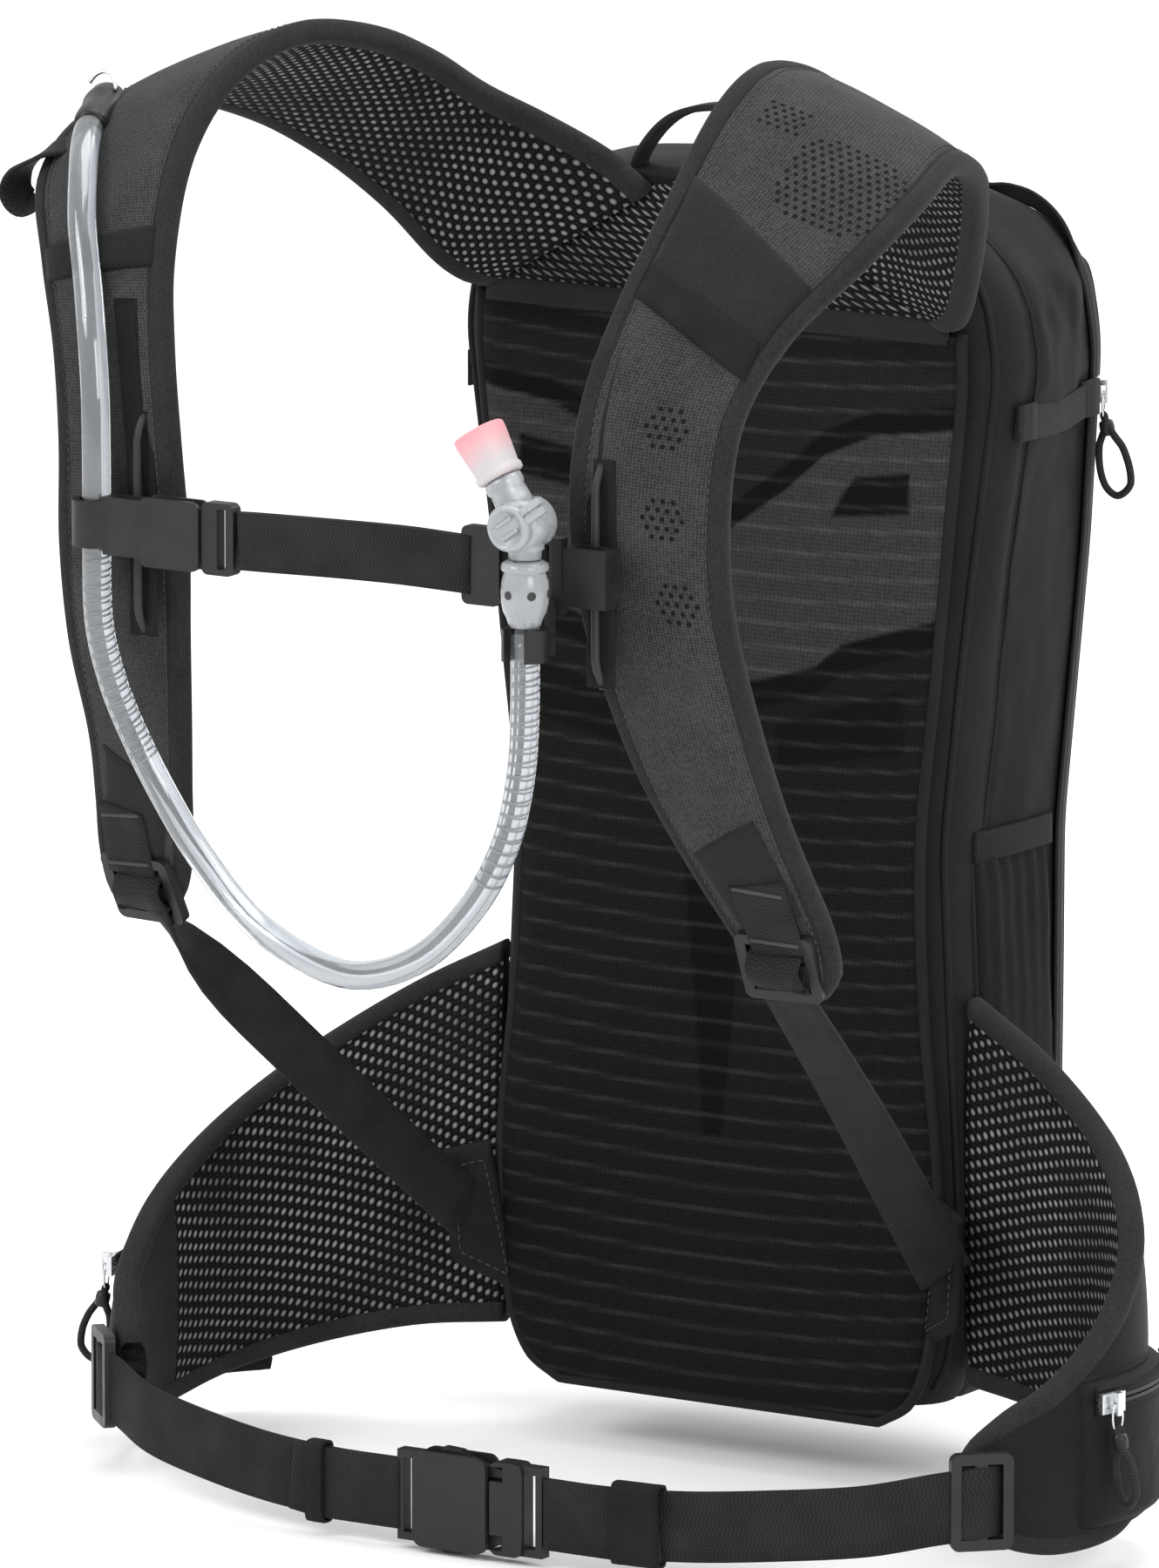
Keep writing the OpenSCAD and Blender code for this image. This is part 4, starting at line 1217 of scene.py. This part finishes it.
def panel_material():
    """Ribbed stretch knit. The tone attribute carries the dark and pale zones; the ridge attribute carries a
    painted highlight line along each rib.
    """
    s = Shader("panel_knit", (0.02, 0.02, 0.02), 0.85)
    tone = s.node("ShaderNodeAttribute", attribute_name="tone").outputs["Fac"]
    ridge_highlight = s.node("ShaderNodeAttribute", attribute_name="ridge_highlight").outputs["Fac"]
    u, v = s.uv()
    cells = s.math("MULTIPLY", s.wave(u, 1.6), s.wave(v, 1.5))
    fleck = s.noise(0.8, 3, 0.7)
    base = s.mix(tone, (0.0025, 0.0025, 0.0024), (0.036, 0.0345, 0.0335))
    # Painted highlight: a pale line along each rib, strongest in the pale zones.
    line = s.math("MULTIPLY", ridge_highlight, s.math("MULTIPLY_ADD", tone, 0.75, 0.25))
    lit = s.mix(line, base, (0.062, 0.060, 0.058))
    dust = s.range(s.math("MULTIPLY_ADD", cells, 0.3, s.math("MULTIPLY", fleck, 0.8)), 0.35, 0.8, 0.62, 1.25)
    n = s.node("ShaderNodeVectorMath", operation="SCALE")
    s.link(lit, n.inputs[0])
    s.link(dust, n.inputs["Scale"])
    s.color(n.outputs[0])
    s.bump(s.math("ADD", cells, fleck), 0.45, 0.3)
    return s.material


def grid_panel(name, outline, z0, z1, materials, nu, nv, relief, deep=7.4):
    """A padded sheet with its face at y = 0. relief(x, z) is how far the face stands back there."""
    zs = np.linspace(z0, z1, nv)
    rings, flat = [], []
    for z in zs:
        w = lookup(z, outline)
        x = np.linspace(-w, w, nu)
        share = edge_share(x, np.full(nu, z), outline, 12.0)
        y = deep * (1 - np.sqrt(1 - (1 - share) ** 2)) * 0.9 + relief(x, np.full(nu, z)) * share
        rings.append(np.vstack([np.column_stack([x, y, np.full(nu, z)]),
                                [(w * 0.995, deep, z), (-w * 0.995, deep, z)]]))
        flat.append(np.column_stack([x, np.full(nu, z)]))
    return skin(name, rings, materials), np.array(flat)


RIB_PITCH = 8.5


def rib(x, z):
    """The ribs' profile, from 0 in a groove to 1 on a rib. They sag slightly in the middle."""
    sag = z + 5 * np.cos(np.clip(x / 95, -1, 1) * np.pi / 2)
    f = (sag / RIB_PITCH) % 1.0
    return np.sin(np.pi * f) ** 0.6


# Where the painted highlight line runs along each rib.
def ridge_highlight_line(x, z):
    sag = z + 5 * np.cos(np.clip(x / 95, -1, 1) * np.pi / 2)
    f = (sag / RIB_PITCH) % 1.0
    return np.exp(-((np.minimum(f, 1 - f)) / 0.07) ** 2)


def make_panel():
    def relief(x, z):
        tone = panel_tone(x, z)
        smooth_zone = np.clip((tone - 0.08) / 0.05, 0, 1)
        seat = 1.5 * np.exp(-(x / 22) ** 2) * np.clip((z - 80) / 60, 0, 1)
        return 0.5 + seat + 0.55 * (1 - rib(x, z)) * smooth_zone + 0.8 * (1 - smooth_zone)

    panel, flat = grid_panel("back_panel_knit", PANEL, -6, 384, [panel_material()], 131, 300, relief)
    xz = flat.reshape(-1, 2)
    tone = panel_tone(xz[:, 0], xz[:, 1]).reshape(flat.shape[:2])
    ridge_highlight = ridge_highlight_line(xz[:, 0], xz[:, 1]).reshape(flat.shape[:2])
    for key, values in (("tone", tone), ("ridge_highlight", ridge_highlight)):
        full = np.concatenate([values, values[:, -1:], values[:, :1]], 1).reshape(-1)
        layer = panel.data.attributes.new(key, "FLOAT", "POINT")
        layer.data.foreach_set("value", full.astype(np.float32))
    settle(panel, "pack", ["back_panel"])
    line = []
    pts = np.array([(h, z) for z, h in PANEL])
    right = np.vstack([(0, -6), pts, (98, 384)])
    path = np.column_stack([right[:, 0], np.full(len(right), 5.5), right[:, 1]])
    path = resample(path, 200)
    both = np.vstack([(path * (-1, 1, 1))[::-1], path[1:]])
    settle(tube("panel_edge_tape", both, 2.3, RIM, 10), "pack")


YOKE = [(385, 94), (390, 92), (425, 30), (428, 18), (429, 6)]


def make_yoke():
    yoke, _ = grid_panel("yoke_pad", YOKE, 385, 429, [MESH3D], 81, 40, lambda x, z: 0.2 + 0 * x)
    settle(yoke, "pack", ["yoke"])
    p = resample(np.array([(-94, 2.6, 384.5), (0, 1.4, 384.5), (94, 2.6, 384.5)]), 60)
    settle(ribbon("yoke_seam", p, np.tile((0, 0, 1.0), (60, 1)), 9, 2.4, SOFT), "pack")


make_panel()
make_yoke()


# ---- webbing ----

ADJUSTER = [(128, -161, 204), (129, -168, 199), (129, -171, 193), (129, -166, 187), (128, -158, 182),
            (118, -98, 132), (107, -42, 84), (99, -4, 52)]


def make_adjusters():
    for side in (1, -1):
        p = smooth(ADJUSTER, 6)
        k = np.arange(len(p)) / 6
        k = np.clip((k - 4) / 3 if side > 0 else (k - 3.5) / 1.3, 0, 1)
        turn = (1, 0.5, 0.65) if side > 0 else (-0.1, 0.42, 0.6)
        across = np.column_stack([1 - (1 - turn[0] + 0.15) * k, 0.1 + (turn[1] - 0.1) * k,
                                  -0.05 + (turn[2] + 0.05) * k])
        piece = ribbon("strap_adjuster", p, across, 20, 1.7, WEB, side < 0)
        tag = "left" if side > 0 else "right"
        settle(piece, "pack", [f"adjuster_{tag}"])
        piece.name = f"adjuster_webbing_{tag}"


def make_anchor_tabs():
    corners = np.array([(-16, -30), (9, -18), (12, 22), (-5, 26)], float)
    parts = []
    for mirror in (False, True):
        turn = Matrix.Translation((97, -1, 52)) @ Matrix.Rotation(math.radians(-32), 4, "Z")
        axis = np.array(turn.to_3x3() @ Vector((0, -1, 0)))

        def surface(u, v):
            low = corners[0] + (corners[1] - corners[0]) * u[:, None]
            high = corners[3] + (corners[2] - corners[3]) * u[:, None]
            q = low + (high - low) * v[:, None]
            p = np.array([turn @ Vector((a, 0, b)) for a, b in q])
            return p, np.tile(axis, (len(p), 1))

        parts.append(shell("tab", surface, lambda u, v: 0.3 + 1.4 * dome(u, v, 0.2, 0.12), [CLOTH_FRONT], 14,
                           24,
                           sink=1.4, mirror=mirror))
        box = [surface(np.array([u]), np.array([v]))[0][0] + axis * 1.9
               for u, v in ((0.15, 0.1), (0.85, 0.12), (0.8, 0.85), (0.2, 0.88), (0.15, 0.1))]
        parts.append(stitches("thread", resample(np.array(box), 60), np.tile(axis, (60, 1)), THREAD, mirror))
    return settle(join("anchor_tab_cloth", parts), "pack", ["anchor_tabs"])


def make_haul_loop():
    route = [(-40, 15, 420), (-37, 14, 435), (-22, 12, 450), (0, 11, 455), (22, 12, 450), (37, 14, 435),
             (40, 15, 420)]
    p = smooth(route, 8)
    loop = ribbon("haul_loop_webbing", p, np.tile((0, 1.0, 0), (len(p), 1)), 9, 2.4, WEB)
    return settle(loop, "pack", ["haul_loop"])


BELT_Z, BELT_Y = -10.5, -158
BELT = [(184, -107, 4), (182, -116, 4), (176, -121, 3), (166, -126, 1), (146, -138, -3), (118, -148, -6),
        (86, -155, -9), (56, -157.5, BELT_Z)]


def make_belt():
    for side, end in ((1, 30.8), (-1, 27)):
        p = smooth(BELT + [(end, BELT_Y, BELT_Z)], 7)
        across = np.tile((0, 0, 1.0), (len(p), 1))
        tag = "left" if side > 0 else "right"
        piece = ribbon(f"belt_ribbon_{tag}", p, across, 25, 1.7, WEB, side < 0)
        fold = smooth([(end + 0.6, BELT_Y - 2.2, BELT_Z), (end + 14, BELT_Y - 2.3, BELT_Z),
                       (end + 34, BELT_Y - 1.6, BELT_Z), (end + 46, BELT_Y - 0.6, BELT_Z + 1)], 5)
        tail = ribbon("tail", fold, np.tile((0, 0, 1.0), (len(fold), 1)), 25, 1.5, WEB, side < 0)
        piece = join(f"belt_ribbon_{tag}", [piece, tail])
        if side > 0:
            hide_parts("belt_webbing_left")
            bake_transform(piece)
        else:
            settle(piece, "pack", ["belt_webbing_right"])
    keepers = []
    for x, y, z, turn, w in ((68, -157.6, BELT_Z + 0.6, 4.5, 18), (-62, -158.4, BELT_Z, -4, 7)):
        place = Matrix.Translation((x, y, z)) @ Matrix.Rotation(math.radians(turn), 4, "Z")
        ring = []
        for a in np.linspace(0, 2 * np.pi, 48, endpoint=False):
            cy = 4.3 * math.copysign(abs(math.sin(a)) ** 0.5, math.sin(a))
            cz = 14.6 * math.copysign(abs(math.cos(a)) ** 0.32, math.cos(a))
            ring.append((cy, cz))
        rows = np.linspace(-w / 2, w / 2, 8)
        rings = [[tuple(place @ Vector((q, cy * (1 + 0.05 * math.cos(q)), cz))) for cy, cz in ring]
                 for q in rows]
        inner = [[tuple(place @ Vector((q, cy * 0.66, cz * 0.93))) for cy, cz in ring] for q in rows[::-1]]
        keepers.append(skin("keeper", rings + inner + rings[:1], [ELASTIC], caps=False))
    settle(join("belt_keeper_loops", keepers), "pack", ["belt_keepers"])


CHEST = np.array((0, -228, 334), float)


def make_sternum():
    route = [(-46, -4, 0), (-38, -4.4, 0.5), (-10, -6, 1.5), (22, -6, 2), (46, -6.6, 1.5), (60, -6, 1),
             (77, -3, 0)]
    p = smooth(route, 7) + CHEST
    p = p[np.r_[True, np.linalg.norm(np.diff(p, axis=0), axis=1) > 0.01]]
    across = np.tile((0, 0, 1.0), (len(p), 1))
    main = ribbon("chest_ribbon", p, across, 20, 1.6, WEB)
    q = smooth([(-44, -6.4, 0.3), (-30, -6.8, 0.7), (-8, -8.2, 1.6), (20, -8.3, 2), (50, -8.6, 1.5)],
               7) + CHEST
    tail = ribbon("tail", q, np.tile((0, 0, 1.0), (len(q), 1)), 20, 1.4, WEB)
    piece = join("chest_ribbon", [main, tail])
    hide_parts("sternum_webbing")
    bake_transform(piece)


make_adjusters()
make_anchor_tabs()
make_haul_loop()
make_belt()
make_sternum()


# ---- hip pockets ----

DRUM = (138, -53)


def drum_point(angle, z, r):
    a = np.radians(angle)
    return np.column_stack([DRUM[0] + r * np.cos(a), DRUM[1] + r * np.sin(a), z]), \
        np.column_stack([np.cos(a), np.sin(a), np.zeros_like(a)])


def make_hip_pockets():
    parts, strips = [], []
    for mirror in (False, True):
        def surface(u, v):
            return drum_point(-24 + 70 * u, -13 + 53 * v, 60.0 + 0 * u)

        def lift(u, v):
            p, _ = surface(u, v)
            swell = 7.6 * dome(u, v, 0.16, 0.14)
            slot_dip = 1.3 * np.exp(-((v * 53 - 46) / 1.8) ** 2)
            return swell - slot_dip * dome(u, v) + ripple(p, 0.05, 21.0) * 0.7 * dome(u, v)

        parts.append(shell("pocket", surface, lift, [CLOTH_FRONT], 60, 46, sink=3.5, mirror=mirror, back=12))
        rim = [surface(np.array([u]), np.array([v])) for u, v in
               [(k, 0.0) for k in np.linspace(0, 1, 24)] + [(1.0, k) for k in np.linspace(0.04, 1, 20)]
               + [(k, 1.0) for k in np.linspace(0.96, 0, 24)] + [(0.0, k) for k in np.linspace(0.96, 0, 20)]]
        loop = np.array([q[0][0] + q[1][0] * 0.6 for q in rim])
        parts.append(tube("rim", loop * ((-1, 1, 1) if mirror else (1, 1, 1)), 1.6, RIM, 8))
        a = np.linspace(-19, 42, 60)
        p, n = drum_point(a, np.full(60, 33.0), 67.0)
        flip = (-1, 1, 1) if mirror else (1, 1, 1)
        strips.append(zip_strip("strip", p * flip, n * flip, 8, 0.1))
    settle(join("hip_pocket_cloth", parts), "pack", ["hip_pockets"])
    settle(join("hip_zip_coils", strips), "pack", ["hip_zips"])


make_hip_pockets()


# ---- zip pulls ----

def pull_cord(name, origin, turn, length, body, lean=5.0, twist=75.0):
    """A wire ring on the slider's bridge and a doubled cord with a moulded grip, standing a little way out."""
    place = Matrix.Translation(origin) @ Matrix.Rotation(math.radians(turn), 4,
                                                         "Z") @ Matrix.Translation((0, -4.4, 0))

    def put(points):
        out = []
        for x, y, z in points:
            share = min(1.0, max(0.0, (-8.5 - z) / (length - 14)))
            a = math.radians(twist) * min(1.0, share * 2.2)
            out.append(tuple(place @ Vector((x * math.cos(a) - y * math.sin(a),
                                             x * math.sin(a) + y * math.cos(a) - lean * share ** 0.8, z))))
        return np.array(out)

    wire = [(2.4 * math.sin(a), 0.0, -4.8 - 4.9 * math.cos(a)) for a in np.linspace(np.pi, 3 * np.pi, 33)]
    parts = [tube("wire", put(wire), 0.4, METAL, 8)]
    low = -length + 6.0
    loop = smooth([(-0.9, 0, -9.2), (-1.4, -0.2, -12), (-4.2, -0.4, -19), (-5.6, -0.4, low + 5),
                   (-4.6, -0.3, low - 1.5),
                   (0, 0, low - 5.0), (4.6, 0.3, low - 1.5), (5.6, 0.4, low + 5), (4.2, 0.4, -19),
                   (1.4, 0.2, -12),
                   (0.9, 0, -9.2), (0, 0, -8.4), (-0.9, 0, -9.2)], 6)
    parts.append(tube("cord", put(loop), 1.35, CORD, 10))
    parts.append(tube("crimp", put([(0, 0, -10.4), (0, 0, -10.8), (0, 0, -12.5), (0, 0, -15.2),
                                    (0, 0, -15.6)]),
                      [1.9, 2.5, 2.7, 2.5, 1.9], PLASTIC, 14))
    return settle(join(name, parts), body, [body])


z_left, z_right = 352, 204
pull_cord("pull_loop_main_left", (half_w(z_left) - 0.9, zip_y(z_left) + 0.4, z_left), 110, 38,
          "main_pull_left")
pull_cord("pull_loop_main_right", (-(half_w(z_right) - 0.9), zip_y(z_right) + 0.4, z_right), -110, 38,
          "main_pull_right", 22.0, 40.0)
pull_cord("pull_loop_front", (52, 111.6, 302.5), 180, 34, "front_pull")
hip_a = math.radians(-15)
for sign, tag in ((1, "left"), (-1, "right")):
    pull_cord(f"pull_loop_hip_{tag}", (sign * (DRUM[0] + 68.1 * math.cos(hip_a)),
                                       DRUM[1] + 68.1 * math.sin(hip_a), 33),
              sign * 75, 36, f"hip_pull_{tag}")


# ---- details sewn on the shoulder straps ----

def punched(name, clusters, pitch=3.5):
    """Small holes in rounded clusters, drawn as dark discs of painted shade just above the face, each cluster
    given as its centre on the band and its radius in mm.
    """
    verts, faces = [], []
    for cu, cv, reach in clusters:
        wide, tall = strap.width(cv) / 2, strap.length
        rows = int(reach / (pitch * 0.87))
        for r in range(-rows, rows + 1):
            for c in range(-10, 11):
                x, y = (c + 0.5 * (r % 2)) * pitch, r * pitch * 0.87
                if (abs(x) / reach) ** 2.6 + (abs(y) / reach) ** 2.6 > 0.95:
                    continue
                u, v = cu + x / wide, cv + y / tall
                base = len(verts)
                for k in range(10):
                    a = 2 * math.pi * k / 10
                    uu, vv = u + 0.85 * math.cos(a) / wide, v + 0.85 * math.sin(a) / tall
                    verts.append(strap.point(uu, vv, float(strap_puff(np.array(uu), np.array(vv))) + 0.12)
                                 * MM)
                faces.append(tuple(range(base, base + 10)))
    mesh = bpy.data.meshes.new(name)
    mesh.from_pydata([tuple(q) for q in verts], [], faces)
    mesh.uv_layers.new(name="UVMap")
    return add_object(name, mesh, [HOLE_SHADE])


def make_strap_details():
    left = [
        patch("smooth_patch", strap, [(-0.86, 0.430), (0.84, 0.478), (0.84, 0.530), (-0.78, 0.498)], 1.5,
              SOFT),
        patch("stretch_band", strap, [(-0.80, 0.487), (0.80, 0.525), (0.88, 0.553), (-0.84, 0.512)], 2.4,
              ELASTIC),
        patch("chevron_patch", strap, [(-0.72, 0.893), (0.60, 0.852), (0.74, 0.93), (-0.62, 0.95)], 1.4,
              SOFT),
    ]
    right = [
        patch("stretch_band", strap, [(-0.90, 0.498), (0.92, 0.508), (0.92, 0.533), (-0.90, 0.524)], 2.6,
              ELASTIC, True),
        patch("chevron_patch", strap, [(-0.72, 0.893), (0.60, 0.852), (0.74, 0.93), (-0.62, 0.95)], 1.4, SOFT,
              True),
        # This strip of dark cloth beside the hose is the hose's painted cast shadow.
        patch("hose_shadow_strip", strap, [(-0.66, 0.545), (-0.30, 0.545), (-0.30, 0.70), (-0.62, 0.70)], 1.1,
              CLOTH, True),
    ]
    left.append(punched("vents", [(0.38, 0.399, 21), (-0.42, 0.362, 9), (0.15, 0.590, 8), (0.23, 0.648, 8),
                                  (0.38, 0.702, 8)]))
    groove_u = np.interp(np.linspace(0, 1, 60), [0, 0.5, 1], [-0.72, -0.63, -0.45])
    groove = strap.point(groove_u, np.linspace(0.53, 0.72, 60), strap_puff(groove_u, 0.6) - 0.55)
    left.append(tube("seam", groove, 0.9, RIM, 8))
    settle(join("strap_patches_left", left), "pack", ["strap_bands"])
    settle(join("strap_patches_right", right), "pack")


make_strap_details()


def make_tip_webbing(side):
    """Webbing sewn on the strap's tip that holds the ladder-lock's upper bar, with two bar tacks across it."""
    v = np.linspace(0.905, 0.962, 12)
    u = np.interp(v, [0.905, 0.962], [0.22, 0.05])
    p = strap.point(u, v, 2.6)
    across = strap._at(strap.w, v)
    parts = [ribbon("tip", p, across, 20, 1.7, WEB, side < 0)]
    for at in (1, 9):
        bar = p[at] + unit(across[at]) * np.linspace(-9, 9, 12)[:,
                                                                None] + unit(strap._at(strap.n, v[at])) * 1.0
        parts.append(tube("bartack", bar * ((1, 1, 1) if side > 0 else (-1, 1, 1)), 0.7, THREAD, 6))
    tag = "left" if side > 0 else "right"
    settle(join(f"tip_webbing_{tag}", parts), "pack")


for side in (1, -1):
    make_tip_webbing(side)


def make_hose_exit():
    """The soft sleeve that the hose leaves the shoulder strap through, a wire clip and a folded webbing tab."""
    path = smooth(HOSE_ROUTE, 6)[:8]
    back = path[0] + unit(path[0] - path[1]) * np.array([[9.0], [5.0]])
    line = resample(np.vstack([back, path]), 16)
    sleeve = tube("hose_sleeve", line, np.interp(np.linspace(0, 1, 16), [0, 0.25, 0.5, 0.9, 1],
                                                 [7.2, 7.6, 6.4, 6.2, 5.5]),
                  PLASTIC, 24)
    settle(sleeve, "pack", ["hose_port"])
    arc = [(-155 + 7.5 * math.cos(a) * 0.8, -151 + 3 * math.sin(a), 468 + 7.5 * math.sin(a))
           for a in np.linspace(0.2, 2.7, 16)]
    settle(tube("hose_wire_clip", arc, 0.8, METAL, 8), "pack")
    fold = smooth([(-158, -163, 452), (-166, -168, 449), (-174, -171, 443), (-176.5, -172, 436),
                   (-173, -171.5, 431),
                   (-167, -169, 432), (-161, -166, 437)], 6)
    tab = ribbon("folded_tab", fold, np.tile((0.25, 0.8, 0.3), (len(fold), 1)), 14, 1.5, WEB)
    settle(tab, "pack")


make_hose_exit()


def make_rails():
    """A slim sewn rail on each strap for the chest strap's slider, lying on a strip of elastic webbing."""
    parts = []
    for side in (1, -1):
        z = np.linspace(295, 373, 24)
        p = np.column_stack([np.full(24, side * 92.0), np.full(24, -224.2), z])
        p[:3, 1] += (5, 3, 1)
        p[-3:, 1] += (1, 3, 5)
        parts.append(tube("rail", p, 1.5, PIPING, 10))
        base = np.column_stack([np.full(24, side * 92.0), np.full(24, -220.6), z])
        parts.append(ribbon("base", base, np.tile((1.0, 0, 0), (24, 1)), 11, 1.6, ELASTIC))
    settle(join("chest_rails", parts), "pack", ["sternum_rails"])


make_rails()


# ---- moulded parts that keep their frame shape ----

def dress(node, material, bevel=0.5, angle=35, segments=2):
    obj = cad_nodes[node]
    obj.data.materials.clear()
    obj.data.materials.append(material)
    if bevel:
        flat = obj.modifiers.new("merge", "DECIMATE")
        flat.decimate_type = "DISSOLVE"
        flat.angle_limit = math.radians(2)
        edges = obj.modifiers.new("edges", "BEVEL")
        edges.width = bevel * MM
        edges.segments = segments
        edges.limit_method = "ANGLE"
        edges.angle_limit = math.radians(angle)
    obj.data.polygons.foreach_set("use_smooth", [True] * len(obj.data.polygons))
    normals = obj.modifiers.new("normals", "WEIGHTED_NORMAL")
    normals.keep_sharp = True


for node, rounding in (("strap_locks", 0.9), ("belt_lock_left", 0.9), ("belt_lock_right", 0.9),
                       ("waist_socket", 1.3),
                       ("waist_plug", 0.9), ("waist_prong_upper", 0.6), ("waist_prong_lower", 0.6),
                       ("sternum_slider_left", 1.3), ("sternum_slider_right", 1.0), ("sternum_socket", 0.7),
                       ("sternum_plug", 0.7), ("sternum_triglide", 0.7)):
    dress(node, PLASTIC, rounding, 35, 3)
dress("hose_clip", PLASTIC, 0.4)
for node in ("main_slider_left", "main_slider_right", "front_slider", "hip_slider_left", "hip_slider_right"):
    dress(node, METAL, 0.35)
for node, look in (("frame_sheet", PLASTIC), ("divider_sleeve", RIPSTOP), ("reservoir", TUBE),
                   ("reservoir_slide", PLASTIC), ("reservoir_hook", PLASTIC), ("hose_connector", PLASTIC)):
    dress(node, look, 0)


# ---- floor and light ----

def make_stage():
    floor_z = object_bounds()[0][2] - 0.0005
    bpy.ops.mesh.primitive_plane_add(size=40, location=(0, 0, floor_z))
    floor = bpy.context.object
    floor.name = "floor"
    s = Shader("pale_floor", (0.88, 0.88, 0.88), 0.9)
    s.color(s.mix(s.range(s.noise(0.002, 3, 0.5), 0.3, 0.7, 0, 1), (0.87, 0.87, 0.87), (0.9, 0.9, 0.9)))
    floor.data.materials.append(s.material)
    bpy.context.scene.view_settings.view_transform = "Standard"
    world = bpy.data.worlds.new("studio")
    bpy.context.scene.world = world
    world.use_nodes = True
    world.node_tree.nodes["Background"].inputs[0].default_value = (1, 1, 1, 1)
    world.node_tree.nodes["Background"].inputs[1].default_value = 1.0
    for name, place, size, power, aim in (
        ("key", (-1.6, -2.6, 2.4), 1.6, 60, (0, 0, 0.25)),
        ("fill", (2.6, -1.6, 1.4), 1.4, 34, (0, 0, 0.2)),
        ("top", (0.2, 0.4, 2.6), 1.8, 40, (0, 0, 0.3)),
        ("back", (1.2, 2.6, 1.8), 1.4, 30, (0, 0, 0.3)),
    ):
        light = bpy.data.objects.new(name, bpy.data.lights.new(name, "AREA"))
        light.data.size = size
        light.data.energy = power
        light.location = place
        light.rotation_euler = (Vector(place) - Vector(aim)).to_track_quat("Z", "Y").to_euler()
        bpy.context.collection.objects.link(light)


make_stage()
